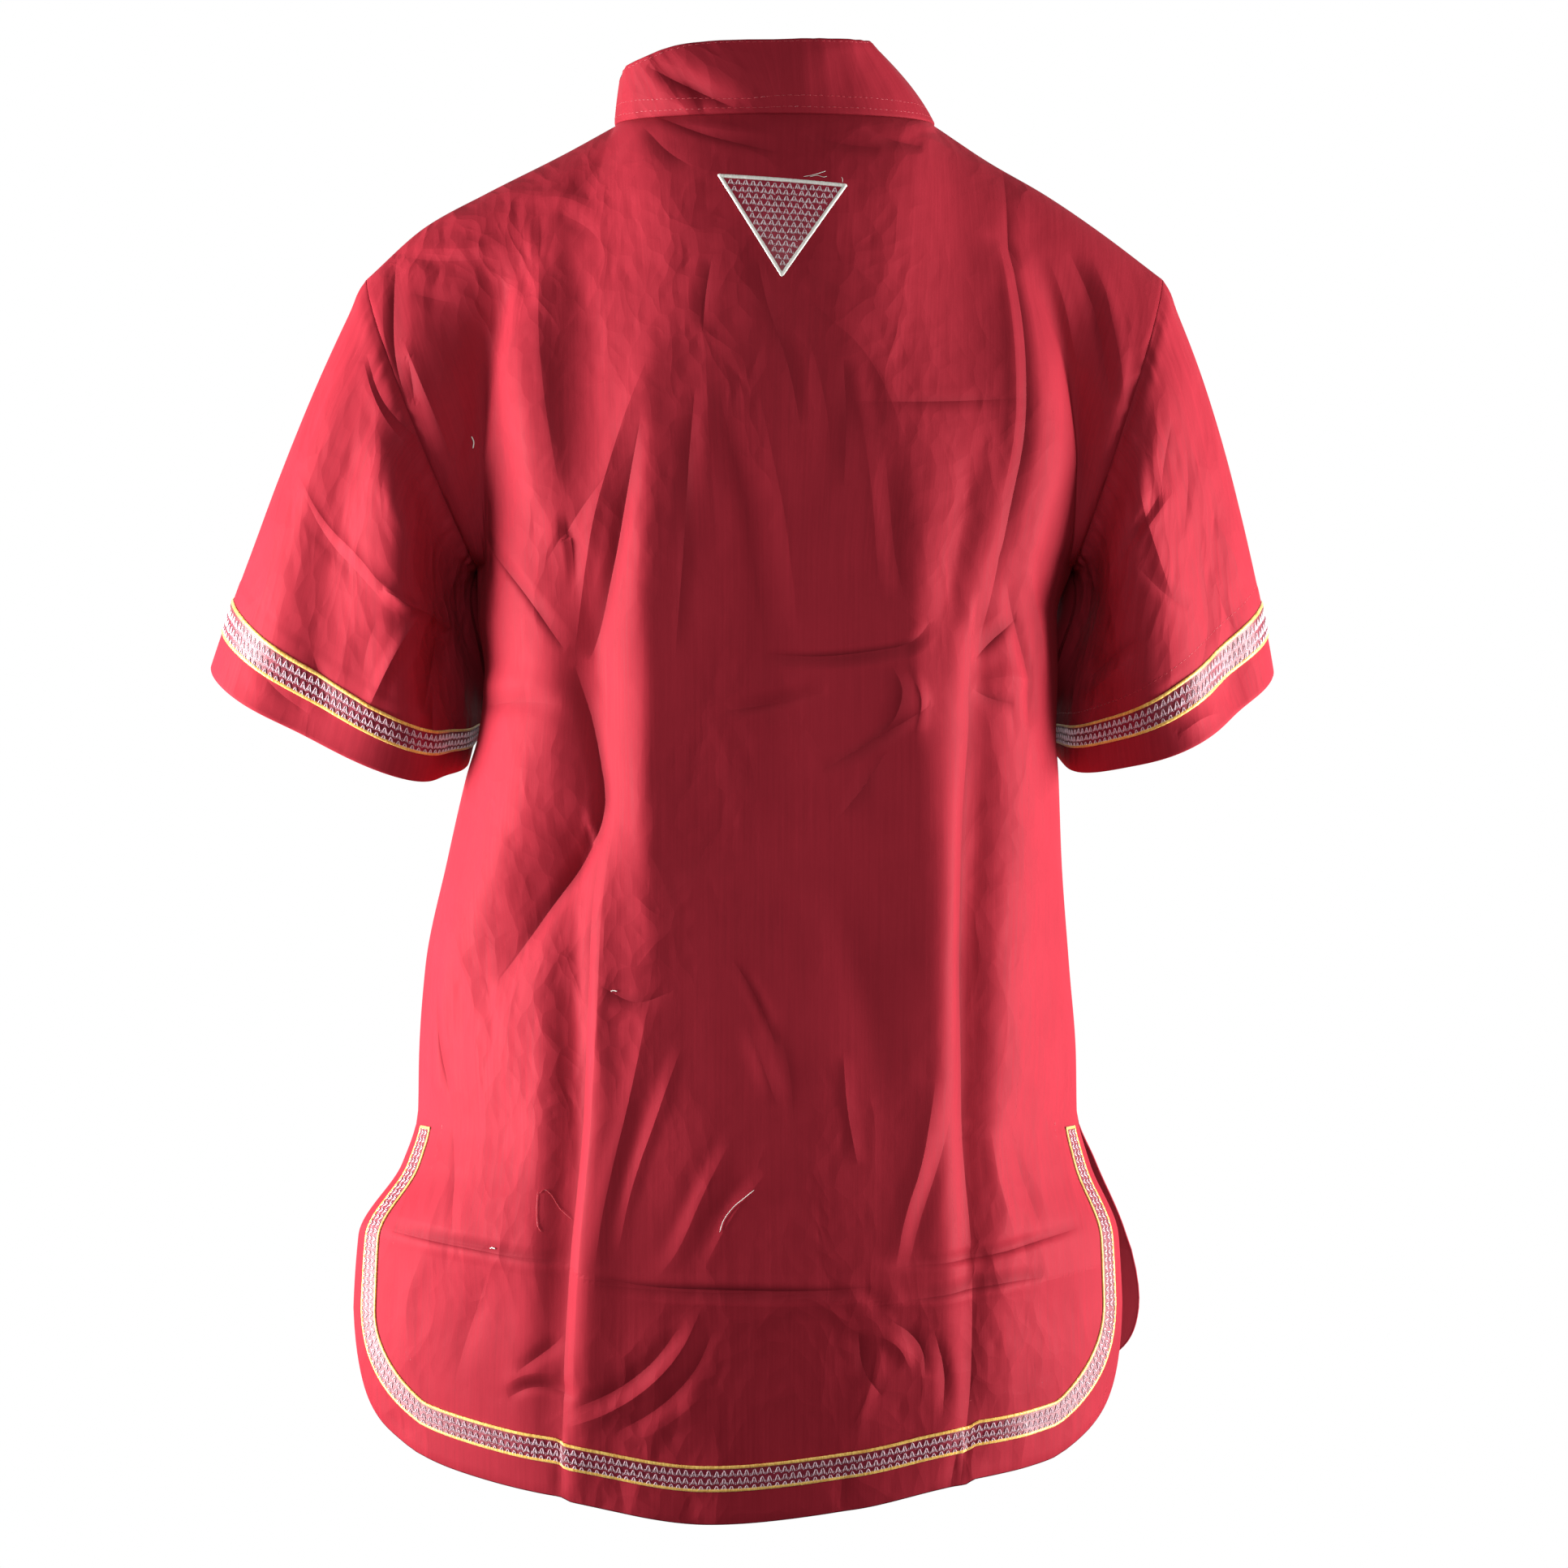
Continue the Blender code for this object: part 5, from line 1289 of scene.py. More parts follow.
def shell(name, patch, thin, thick, finish, rim_steps=2):
    """A thin wall round a patch, with a rounded rim; thick is used where the patch says so."""
    used, faces = np.unique(patch.faces, return_inverse=True)
    faces = faces.reshape(patch.faces.shape)
    points = patch.array()[used]
    normals = vertex_normals(points, faces)
    half = (thin + (thick - thin) * patch.thick[used])[:, None] / 2
    count = len(points)
    every = np.arange(count)
    edges = open_edges(faces)
    rim = np.unique(edges)
    way = np.zeros_like(points)
    run = points[edges[:, 1]] - points[edges[:, 0]]
    for end in (0, 1):
        np.add.at(way, edges[:, end], np.cross(run, normals[edges[:, end]]))
    way = unit(way[rim])
    points[rim] -= way * half[rim]
    layers = [points + normals * half, points - normals * half]
    source = [every, every]
    numbers = [every]
    for step in range(1, rim_steps + 1):
        turn = math.pi * step / (rim_steps + 1)
        offset = normals[rim] * math.cos(turn) + way * math.sin(turn)
        ring = np.full(count, -1)
        ring[rim] = np.arange(len(rim)) + sum(len(layer) for layer in layers)
        numbers.append(ring)
        layers.append(points[rim] + offset * half[rim])
        source.append(rim)
    numbers.append(every + count)
    a, b = edges.T
    sides = [np.stack((upper[b], upper[a], under[a], under[b]), 1)
             for upper, under in zip(numbers, numbers[1:])]
    source = used[np.concatenate(source)]
    mesh = make_mesh(name, np.concatenate(layers), [faces, faces[:, ::-1] + count] + sides,
                     patch.uv[source])
    outside = np.where(np.arange(len(source)) < count, 1.0, -1.0)
    for k, layer in enumerate(patch.cores):
        values = layer[source]
        values[:, 1:] *= outside[:, None]
        made = mesh.attributes.new("crease_%d" % k, "FLOAT_VECTOR", "POINT")
        made.data.foreach_set("vector", values.astype(np.float32).ravel())
    if patch.tilt is not None:
        made = mesh.attributes.new("hem_tilt", "FLOAT", "POINT")
        made.data.foreach_set("value", (-patch.tilt[source] * outside).astype(np.float32))
    return link(name, mesh, finish)


# ---------------------------------------------------------------- trims, threads and stitches

STITCH_PITCH = 0.0035
STITCH_LONG = 0.0026
STITCH_RADIUS = 0.00019
STRAND_RINGS = ((0.16, 0.85), (0.5, 1.0), (0.84, 0.85))      # share of the length, of the radius
SATIN_SIDES = 6
LOOSE_STEPS = 28
LOOSE_SIDES = 5
draw = np.random.default_rng(4)


class Ribbon:
    """A strip of surface between lines of matching points, read by length, width and height."""

    def __init__(self, lines, widths, outside):
        self.lines = np.array(lines)
        self.widths = np.array(widths)
        middle = self.lines[len(lines) // 2]
        steps = np.linalg.norm(np.diff(middle, axis=0), axis=1)
        self.place = np.concatenate(([0.0], np.cumsum(steps)))
        self.length = float(self.place[-1])
        normal = grid_normals(self.lines)
        sign = np.sign(np.mean(np.sum(normal * (self.lines - outside), axis=-1)))
        self.normals = normal * sign

    def at(self, along, across, height):
        along, across, height = np.broadcast_arrays(along, across, height)
        i = np.clip(np.searchsorted(self.place, along) - 1, 0, len(self.place) - 2)
        a = np.clip((along - self.place[i]) / (self.place[i + 1] - self.place[i]), -0.5, 1.5)
        j = np.clip(np.searchsorted(self.widths, across) - 1, 0, len(self.widths) - 2)
        b = np.clip((across - self.widths[j]) / (self.widths[j + 1] - self.widths[j]), -0.5, 1.5)
        a, b = a[..., None], b[..., None]
        out = []
        for table in (self.lines, self.normals):
            low = table[j, i] * (1 - a) + table[j, i + 1] * a
            high = table[j + 1, i] * (1 - a) + table[j + 1, i + 1] * a
            out.append(low * (1 - b) + high * b)
        return out[0] + out[1] * height[..., None]


def grid_faces(rows, columns, closed=False):
    """Faces between neighbouring rows and columns of a grid of points."""
    number = np.arange(rows * columns).reshape(rows, columns)
    if closed:
        number = np.concatenate((number, number[:, :1]), 1)
    a, b = number[:-1], number[1:]
    return np.stack((a[:, :-1], a[:, 1:], b[:, 1:], b[:, :-1]), -1).reshape(-1, 4)


def satin(place, middle, half, start, end, base, rise, step=0.0006):
    """A raised row of satin stitches, each stitch a little different."""
    along = np.arange(start, end + step / 2, step)
    jitter = draw.normal(0.0, 0.045e-3, (len(along), 2))
    tall = rise * (1.0 + draw.normal(0.0, 0.07, len(along)))
    turn = np.linspace(0.0, math.pi, SATIN_SIDES + 1)
    taper = np.clip(np.minimum(along - start, end - along) / 0.0009, 0.12, 1.0) ** 0.5
    across = middle - np.cos(turn)[None] * (half * taper)[:, None]
    across = across + np.where(turn < math.pi / 2, 1, 0)[None] * jitter[:, :1]
    across = across + np.where(turn > math.pi / 2, 1, 0)[None] * jitter[:, 1:]
    height = base + (np.sin(turn)[None] ** 0.75) * (tall * taper)[:, None]
    slanted = along[:, None] + (across - middle) * 0.25
    points = place(slanted, across, height).reshape(-1, 3)
    return points, [grid_faces(len(along), len(turn))], pairs(slanted, across)


def strands(starts, ends, radius, lift):
    """Many short threads with tapered ends, as one set of points and faces."""
    way = ends - starts
    length = np.linalg.norm(way, axis=1, keepdims=True)
    way = unit(way)
    side = unit(np.cross(way, lift))
    up = np.cross(side, way)
    radius = np.broadcast_to(radius, len(way))[:, None]
    points = [starts]
    for share, size in STRAND_RINGS:
        centre = starts + way * length * share
        for c, d in ((1, 0), (0, 1), (-1, 0), (0, -1)):
            points.append(centre + side * radius * size * c + up * radius * size * d)
    points = np.stack(points + [ends], 1)
    sides = ((0, 1), (1, 2), (2, 3), (3, 0))
    quads = [(foot + a, foot + b, foot + b + 4, foot + a + 4)
             for foot in (1, 5) for a, b in sides]
    caps = [cap for a, b in sides for cap in ((0, 1 + b, 1 + a), (13, 9 + a, 9 + b))]
    first = np.arange(len(way))[:, None, None] * 14
    faces = [(first + np.array(part)[None]).reshape(-1, len(part[0])) for part in (quads, caps)]
    share = np.repeat([0.0] + [ring[0] for ring in STRAND_RINGS] + [1.0], (1, 4, 4, 4, 1))
    around = np.array([0.0] + [0.0, 0.25, 0.5, 0.75] * 3 + [0.0])
    return points.reshape(-1, 3), faces, pairs(length * share[None], around[None] * 0.001)


# One white figure of the trims. columns: start across the pitch and up the row, as shares of both,
# end, radius in mm, height of the start and the end above the tape in mm
FIGURE = (
    (-0.36, 0.02, -0.03, 0.86, 0.27, 0.16, 0.34),
    (0.36, 0.02, 0.03, 0.86, 0.27, 0.16, 0.34),
    (-0.25, 0.02, -0.10, 0.50, 0.18, 0.08, 0.12),
    (0.25, 0.02, 0.10, 0.50, 0.18, 0.08, 0.12),
    (0.00, 0.04, 0.00, 0.42, 0.17, 0.08, 0.12),
    (0.40, 0.00, 0.60, 0.00, 0.15, 0.10, 0.10),
    (0.47, 0.06, 0.53, 0.34, 0.16, 0.14, 0.10),
)


def figures(place, middles, pitch, rows):
    """Strands of the white figures. place(x, y, h) gives a point, rows holds (foot, height)."""
    sets = []
    for foot, tall in rows:
        wander = draw.normal(0.0, 0.035 * pitch, (len(middles), 2))
        for x0, y0, x1, y1, radius, h0, h1 in FIGURE:
            shake = draw.normal(0.0, 0.02 * pitch, (len(middles), 4))
            start, end = (
                place(middles + wander[:, 0] + x * pitch + shake[:, k],
                      foot + wander[:, 1] + y * tall + shake[:, k + 1], h * MM)
                for k, x, y, h in ((0, x0, y0, h0), (2, x1, y1, h1)))
            size = radius * MM * (1.0 + draw.normal(0.0, 0.10, len(middles)))
            above, below = (place(middles, foot + 0.5 * tall, h) for h in (0.002, 0.0))
            sets.append(strands(start, end, size, unit(above - below)))
    return sets


def stitches(ribbon, across, inset, base):
    """A row of running stitches, each lying on the cloth between its two holes."""
    count = int((ribbon.length - inset - inset) / STITCH_PITCH)
    first = inset + np.arange(count) * STITCH_PITCH + draw.normal(0.0, 0.00012, count)
    last = first + STITCH_LONG + draw.normal(0.0, 0.00015, count)
    drift = across + draw.normal(0.0, 0.00010, count)
    middle = (first + last) / 2
    lift = unit(ribbon.at(middle, across, base + 0.001) - ribbon.at(middle, across, base))
    return strands(ribbon.at(first, drift, base), ribbon.at(last, drift, base),
                   STITCH_RADIUS, lift)


def loose_thread(name, points, radius, finish):
    """A loose end of thread along a smooth line."""
    points = np.array(points, float)
    t = np.linspace(0, len(points) - 1, LOOSE_STEPS + 1)
    k = np.clip(t.astype(int), 0, len(points) - 2)
    slopes = np.gradient(points, axis=0)
    line = hermite(points[k], points[k + 1], slopes[k], slopes[k + 1], (t - k)[:, None])
    way = unit(np.gradient(line, axis=0))
    side = unit(np.cross(way, np.array([0.1, 1.0, 0.05])))
    up = np.cross(side, way)
    turn = (np.arange(LOOSE_SIDES) / LOOSE_SIDES * 2 * math.pi)[None, :, None]
    size = radius * np.clip(np.minimum(t, t[-1] - t) * 6 / t[-1] * 3, 0.25, 1.0)
    offset = side[:, None] * np.cos(turn) + up[:, None] * np.sin(turn)
    ring = line[:, None] + offset * size[:, None, None]
    faces = [grid_faces(len(line), LOOSE_SIDES, closed=True)]
    return link(name, make_mesh(name, ring.reshape(-1, 3), faces), finish)


# ---------------------------------------------------------------- materials

def linear(*colour):
    """Scene colour of an sRGB colour with values from 0 to 255."""
    return tuple((c / 255) ** 2.2 for c in colour) + (1.0,)


class Nodes:
    """Small helper that adds linked nodes to a material or a world."""

    def __init__(self, owner):
        self.owner = owner
        owner.use_nodes = True
        self.tree = owner.node_tree

    def put(self, value, socket):
        """Links a socket's value, or sets it."""
        if isinstance(value, bpy.types.NodeSocket):
            self.tree.links.new(value, socket)
        else:
            socket.default_value = value

    def add(self, kind, inputs=None, **settings):
        made = self.tree.nodes.new("ShaderNode" + kind)
        for key, value in settings.items():
            setattr(made, key, value)
        for key, value in (inputs or {}).items():
            self.put(value, made.inputs[key])
        return made

    def attribute(self, name):
        return self.add("Attribute", attribute_type="GEOMETRY", attribute_name=name)

    def uv(self, across, down):
        """Cloth coordinates, scaled."""
        source = self.add("UVMap", uv_map="cloth").outputs["UV"]
        scaled = self.add("Mapping", {"Vector": source, "Scale": (across, down, 1.0)})
        return scaled.outputs["Vector"]

    def noise(self, across, down, detail=2.0, roughness=0.5, output="Fac"):
        """Noise on the cloth, with waves of 1 m over the two scales."""
        made = self.add("TexNoise", {"Vector": self.uv(across, down), "Scale": 1.0,
                                     "Detail": detail, "Roughness": roughness})
        return made.outputs[output]

    def math(self, operation, a, b=0.0):
        return self.add("Math", {0: a, 1: b}, operation=operation).outputs[0]

    def plus(self, a, b):
        return self.math("ADD", a, b)

    def times(self, a, b):
        return self.math("MULTIPLY", a, b)

    def spread(self, value, low, high, out_low=0.0, out_high=1.0):
        made = self.add("MapRange", {"Value": value, "From Min": low, "From Max": high,
                                     "To Min": out_low, "To Max": out_high})
        return made.outputs["Result"]

    def mix(self, share, a, b):
        return self.add("Mix", {0: share, 6: a, 7: b}, data_type="RGBA").outputs[2]

    def finish(self, bump=None, strength=1.0, distance=1.0, **values):
        """Sets the shader's inputs and gives the material."""
        inputs = self.tree.nodes["Principled BSDF"].inputs
        for key, value in values.items():
            self.put(value, inputs[key.replace("_", " ")])
        if bump is not None:
            made = self.add("Bump", {"Height": bump, "Strength": strength, "Distance": distance})
            self.put(made.outputs["Normal"], inputs["Normal"])
        return self.owner


def core_height(n):
    """Height in metres of the sharp cores of the creases, from the layers on the mesh."""
    total = 0.0
    for k in range(LAYERS):
        vector = n.attribute("crease_%d" % k).outputs["Vector"]
        place, ridge, swing = n.add("SeparateXYZ", {"Vector": vector}).outputs
        inside = n.math("MAXIMUM", n.math("SUBTRACT", 1.0, n.math("ABSOLUTE", place)), 0.0)
        lean = n.times(n.times(swing, place), 4.0)
        total = n.plus(total, n.times(n.times(inside, inside), n.plus(ridge, lean)))
    return n.times(total, MM)


def crumples(n):
    """Height in metres of the small flat facets of pressed and worn cotton."""
    bend = n.noise(26.0, 15.0, output="Color")
    moved = n.add("VectorMath", {0: bend, 1: (1.7, 1.7, 0.0)}, operation="MULTIPLY").outputs[0]
    wear_and_crease_shade = n.spread(n.noise(8.0, 5.0, 1.0), 0.38, 0.62, 0.10)
    total = 0.0
    for across, down, rise in ((34.0, 20.0, 0.0020), (95.0, 66.0, 0.00065)):
        placed = n.add("VectorMath", {0: n.uv(across, down), 1: moved}, operation="ADD")
        cells = n.add("TexVoronoi", {"Vector": placed.outputs[0], "Scale": 1.0},
                      voronoi_dimensions="2D", feature="F1")
        total = n.plus(total, n.times(cells.outputs["Distance"], rise))
    return n.times(total, wear_and_crease_shade)


def sateen(name, dark, light):
    """Red cotton sateen: fine warp streaks, a close weave, sharp creases with painted shade in
    their troughs, and a soft sheen.
    """
    n = Nodes(bpy.data.materials.new(name))
    warp = n.noise(2600.0, 220.0, 2.0, 0.6)
    weft = n.noise(240.0, 2600.0, 2.0, 0.6)
    weave = n.plus(n.times(warp, 0.65), n.times(weft, 0.35))
    streak = n.noise(700.0, 14.0, 3.0, 0.6)
    patch = n.noise(22.0, 16.0, 3.0, 0.55)
    share = n.plus(n.times(streak, 0.40), n.times(patch, 0.35))
    share = n.plus(share, n.times(weave, 0.25))
    colour = n.mix(n.spread(share, 0.34, 0.66), linear(*dark), linear(*light))
    cores = core_height(n)
    # painted shade: the base colour darkens towards half the dark tone in the troughs of the
    # creases, where shade would fall
    wear_and_crease_shade = n.spread(cores, -0.0020, 0.0, 0.28, 0.0)
    colour = n.mix(wear_and_crease_shade, colour, linear(*(c * 0.5 for c in dark)))
    height = n.plus(n.plus(n.times(weave, 0.00005), crumples(n)), cores)
    height = n.plus(height, n.attribute("hem_tilt").outputs["Fac"])
    return n.finish(
        height, Base_Color=colour, Roughness=n.spread(streak, 0.35, 0.65, 0.60, 0.72),
        Sheen_Weight=0.03, Sheen_Roughness=0.5, Sheen_Tint=linear(255, 130, 140),
        Specular_IOR_Level=0.08, Specular_Tint=linear(255, 200, 205),
    )


def thread(name, dark, light, pitch, roughness=0.42, sheen=0.3):
    """Twisted or satin-stitched thread, ribbed along its length. The pitch is in mm."""
    n = Nodes(bpy.data.materials.new(name))
    rib = n.noise(1000.0 / pitch, 260.0, 1.0, 0.5)
    wide = n.noise(90.0, 90.0, 2.0, 0.6)
    share = n.plus(n.times(rib, 0.6), n.times(wide, 0.4))
    rough = n.spread(rib, 0.3, 0.7, roughness - 0.08, roughness + 0.08)
    return n.finish(
        rib, 0.6, 0.00012, Roughness=rough,
        Base_Color=n.mix(n.spread(share, 0.35, 0.65), linear(*dark), linear(*light)),
        Sheen_Weight=sheen, Sheen_Roughness=0.4, Specular_IOR_Level=0.5,
    )


def floor_finish():
    n = Nodes(bpy.data.materials.new("pale floor"))
    source = n.add("TexCoord").outputs["Object"]
    grain = n.add("TexNoise", {"Vector": source, "Scale": 3.0, "Detail": 3.0}).outputs["Fac"]
    colour = n.mix(grain, linear(226, 224, 222), linear(236, 235, 233))
    return n.finish(Base_Color=colour, Roughness=0.8)


# ---------------------------------------------------------------- the shirt

CLOTH_THIN = 0.0008       # one layer
CLOTH_THICK = 0.0014      # turned hems
COLLAR_THICK = 0.0024
GOLD_WIDTH = 0.0018
GOLD_RISE = 0.00070
TAPE_LOW = 0.00078        # the trim's under side and upper side over the cloth's middle
TAPE_HIGH = 0.00115
TAPE_INSET = 0.0002
TAPE_STEP = 0.002
TAPE_COLUMNS = 8
HEM_STITCH = 0.0280       # from the outer edge of the trim
HEM_STRIP = 0.0305        # breadth of the strip that holds the trim and the stitching
CUFF_STITCH = 0.0225
CUFF_STRIP = 0.026
COLLAR_STITCHES = (0.0037, 0.0101)      # above the seam
FIGURE_PITCH = 0.0042
FIGURE_ROW = 0.00435
PLACKET_REACH = 0.0165    # of the facing from the middle
PLACKET_LIFT = 0.00095
PLACKET_THICK = 0.0009

cloth = sateen("red sateen", (142, 38, 49), (162, 45, 57))
maroon = thread("maroon ground", (104, 12, 34), (140, 22, 50), 0.5)
crimson = thread("crimson ground", (132, 18, 42), (168, 30, 58), 0.5)
gold = thread("gold satin stitch", (205, 140, 50), (250, 212, 110), 0.45, 0.38, 0.4)
white = thread("white thread", (222, 186, 198), (248, 226, 233), 0.30, 0.45, 0.4)
pale = thread("pale thread", (250, 226, 234), (255, 250, 252), 0.30, 0.40, 0.6)
cream = thread("cream satin stitch", (232, 230, 220), (253, 252, 244), 0.45, 0.42, 0.3)
red_thread = thread("red sewing thread", (150, 20, 36), (205, 40, 58), 0.30)

back = Panel(BACK, plain=154, yoke_rows=88, waist_rows=100, slit_rows=56, corner_steps=20, seed=11)
front = Panel(FRONT, plain=112, yoke_rows=66, waist_rows=76, slit_rows=42, corner_steps=16, seed=12)
sleeves = {
    LEFT: Sleeve(LEFT, back, front, rows=96, seed=13),
    RIGHT: Sleeve(RIGHT, back, front, rows=84, seed=14),
}
collar = Collar(back, front, rows=22)

# flat width, flat length and area in metres, and the bands sewn on
FLATS = {
    "back_panel": (0.62, 0.84, 0.385, ("hem_band_back", "neck_triangle")),
    "front_panel": (0.62, 0.80, 0.362, ("hem_band_front",)),
    "sleeve_left": (0.42, 0.24, 0.072, ("cuff_band_left",)),
    "sleeve_right": (0.40, 0.23, 0.068, ("cuff_band_right",)),
    "collar_band": (0.48, 0.045, None, ()),
    "neck_placket": (0.040, 0.15, None, ()),
}
made = {}                                    # the cloth of each node
trims = {}                                   # the pieces of each trim's node
extras = {node: [] for node in FLATS}        # stitching and loose threads on each cloth

for node, name, source in (
        ("back_panel", "back", back), ("front_panel", "front", front),
        ("sleeve_left", "sleeve_l", sleeves[LEFT]), ("sleeve_right", "sleeve_r", sleeves[RIGHT])):
    made[node] = shell(name, source.patch, CLOTH_THIN, CLOTH_THICK, cloth)
made["collar_band"] = shell("collar", collar.patch, COLLAR_THICK, COLLAR_THICK, cloth, rim_steps=5)


def tape(name, ribbon, start, end):
    """The trim's flat ground, closed all round."""
    count = int((end - start) / TAPE_STEP)
    along = np.linspace(start, end, count + 1)[:, None]
    edge = np.linspace(TAPE_INSET, TRIM_WIDTH - TAPE_INSET, TAPE_COLUMNS + 1)
    across = np.concatenate((edge, edge[::-1]))[None]
    height = np.repeat((TAPE_HIGH, TAPE_LOW), len(edge))
    points = ribbon.at(along, across, height).reshape(-1, 3)
    faces = [grid_faces(count + 1, len(height), closed=True)]
    return link(name, make_mesh(name, points, faces, pairs(along, across), smooth=False), maroon)


def trim(name, ribbon, inset, caps):
    """Embroidered trim: maroon ground, gold satin edges and three rows of white figures."""
    start, end = inset, ribbon.length - inset
    half = GOLD_WIDTH / 2
    pieces = [tape(name, ribbon, start, end)]
    parts = [satin(ribbon.at, middle, half, start, end, TAPE_HIGH - 0.0002, GOLD_RISE)
             for middle in (half, TRIM_WIDTH - half)]
    if caps:
        for along in (start + half, end - half):
            def place(a, c, h, along=along):
                return ribbon.at(along + c, a, h)
            parts.append(satin(place, 0.0, half, 0.0, TRIM_WIDTH, TAPE_HIGH - 0.0001, GOLD_RISE))
    pieces.append(merged(name + "_gold", parts, gold))
    middles = np.arange(start + GOLD_WIDTH + FIGURE_PITCH / 2, end - GOLD_WIDTH, FIGURE_PITCH)
    top = TRIM_WIDTH - GOLD_WIDTH
    rows = [(top - FIGURE_ROW, FIGURE_ROW), (top - 2 * FIGURE_ROW, FIGURE_ROW),
            (0.0006, top - 2 * FIGURE_ROW - 0.0006)]

    def on_tape(x, y, h):
        return ribbon.at(x, y, TAPE_HIGH + h)
    sets = figures(on_tape, middles, FIGURE_PITCH, rows)
    pieces.append(merged(name + "_white", sets, white))
    return pieces


def sew(node, name, sets):
    """Puts rows of red stitches on a cloth."""
    extras[node].append(merged(name, sets, red_thread))


def hem_ribbon(panel):
    """The strip beside a panel's slits and hem, from the outer edge of the trim inwards."""
    widths = np.linspace(0.0, HEM_STRIP, 13)
    lines = []
    for w in widths:
        sharpness = np.interp(w, (0.0, TRIM_WIDTH, HEM_STRIP), (1.1, 0.9, 0.8))
        path = panel.edge_path((EDGE_RINGS[1][0] + w, EDGE_RINGS[1][1] + w, sharpness))
        lines.append(panel.lower(*path.T))
    return Ribbon(lines, widths, np.array([0.0, 0.0, -0.6]))


for panel, word in ((back, "back"), (front, "front")):
    ribbon = hem_ribbon(panel)
    trims["hem_band_" + word] = trim("hem_trim_" + word, ribbon, TRIM_START, True)
    sew(word + "_panel", "hem_stitch_" + word,
        [stitches(ribbon, HEM_STITCH, 0.004, CLOTH_THIN / 2)])

for side, word in ((LEFT, "left"), (RIGHT, "right")):
    arm = sleeves[side]
    widths = np.linspace(0.0, CUFF_STRIP, 11)
    lines = [arm.line(CUFF_TRIM_INSET + w) for w in widths]
    ribbon = Ribbon(lines, widths, arm.tube.mean(axis=(0, 1)))
    trims["cuff_band_" + word] = trim("cuff_trim_" + word, ribbon, 0.001, False)
    sew("sleeve_" + word, "cuff_stitch_" + word,
        [stitches(ribbon, CUFF_STITCH, 0.002, CLOTH_THIN / 2)])

# collar stitching: two rows over the seam, one under the upper edge
centre = collar.band.mean(axis=(0, 1))
widths = np.array([0.002, COLLAR_STITCHES[0], 0.006, COLLAR_STITCHES[1], 0.013])
ribbon = Ribbon([collar.line(w) for w in widths], widths, centre)
sets = [stitches(ribbon, w, 0.002, COLLAR_THICK / 2) for w in COLLAR_STITCHES]
height = np.linalg.norm(collar.band[-1] - collar.band[0], axis=-1)
widths = np.array([0.001, 0.002, 0.004, 0.006])
ribbon = Ribbon([collar.line(height - w) for w in widths], widths, centre)
sets.append(stitches(ribbon, 0.0022, 0.002, COLLAR_THICK / 2))
sew("collar_band", "collar_stitch", sets)

# placket round the neck slit
points = front.patch.array()
middle = front.grid.shape[1] // 2
reach = int(round(PLACKET_REACH / (front.reach * 2 * (1 - SIDE_FRACTION) / front.plain)))
foot_row = int(round(front.yoke_rows * 8 / 11))
near = np.zeros(len(points), bool)
near[front.grid[:foot_row + 1, middle - reach:middle + reach + 1]] = True
near[list(front.slit.values())] = True
placket = Patch()
placket.points = [points + vertex_normals(points, front.patch.faces) * PLACKET_LIFT]
placket.faces = front.patch.faces[near[front.patch.faces].all(axis=1)]
placket.uv = front.patch.uv + 0.5
placket.plain(0.0)
made["neck_placket"] = shell("placket", placket, PLACKET_THICK, PLACKET_THICK, cloth)
for side, letter in ((-1, "r"), (1, "l")):
    lines = [points[front.grid[:foot_row + 1, middle + side * (reach - k)]] for k in (0, 1, 2)]
    spacing = np.linalg.norm(lines[1][0] - lines[0][0])
    ribbon = Ribbon(lines, np.arange(3) * spacing, np.array([0.0, 0.0, -0.2]))
    sew("neck_placket", "placket_stitch_" + letter, [stitches(ribbon, 0.0018, 0.001, 0.0014)])

# ---------------------------------------------------------------- triangle and loose threads

FIELD_EDGE = 0.004        # of the grid round the triangle
FIELD_STEP = 0.0015
GROUND_ROWS = 30
GROUND_COLUMNS = 25
TRIANGLE_PITCH = 0.0041
TRIANGLE_ROW = 0.00372
SATIN_HALF = 0.00105

behind = BVHTree.FromPolygons([v.co for v in made["back_panel"].data.vertices],
                              [tuple(p.vertices) for p in made["back_panel"].data.polygons])


def seen_at(x, z):
    """The place on the back that shows at x and z, and its normal."""
    return behind.ray_cast(Vector((x, 1.0, z)), Vector((0.0, -1.0, 0.0)))[:2]


corner, other, tip = (np.array(p) for p in TRIANGLE)
edge = other - corner
top_length = float(np.linalg.norm(edge))
run = edge / top_length
fall = np.array([run[1], -run[0]])
fall = -fall if fall[1] > 0 else fall
tip_a = float((tip - corner) @ run)
tip_b = float((tip - corner) @ fall)
a_places = np.arange(-FIELD_EDGE, top_length + FIELD_EDGE + 0.0005, FIELD_STEP)
b_places = np.arange(-FIELD_EDGE, tip_b + FIELD_EDGE + 0.0005, FIELD_STEP)
lines = np.array([[seen_at(*(corner + run * a + fall * b))[0] for a in a_places]
                  for b in b_places])
for _ in range(3):
    lines[1:-1, 1:-1] = (lines[1:-1, 1:-1] * 2 + lines[:-2, 1:-1] + lines[2:, 1:-1]
                         + lines[1:-1, :-2] + lines[1:-1, 2:]) / 6
field = Ribbon(lines, b_places, np.array([0.0, 0.0, -0.05]))


def on_triangle(a, b, h):
    """A place along the triangle's top edge, down from it, and that far off the cloth."""
    return field.at((a + FIELD_EDGE) * field.length / (a_places[-1] - a_places[0]), b, h)


def sides_at(share, inset):
    """The triangle's left and right side at that share of its height."""
    return tip_a * share + inset, top_length + (tip_a - top_length) * share - inset


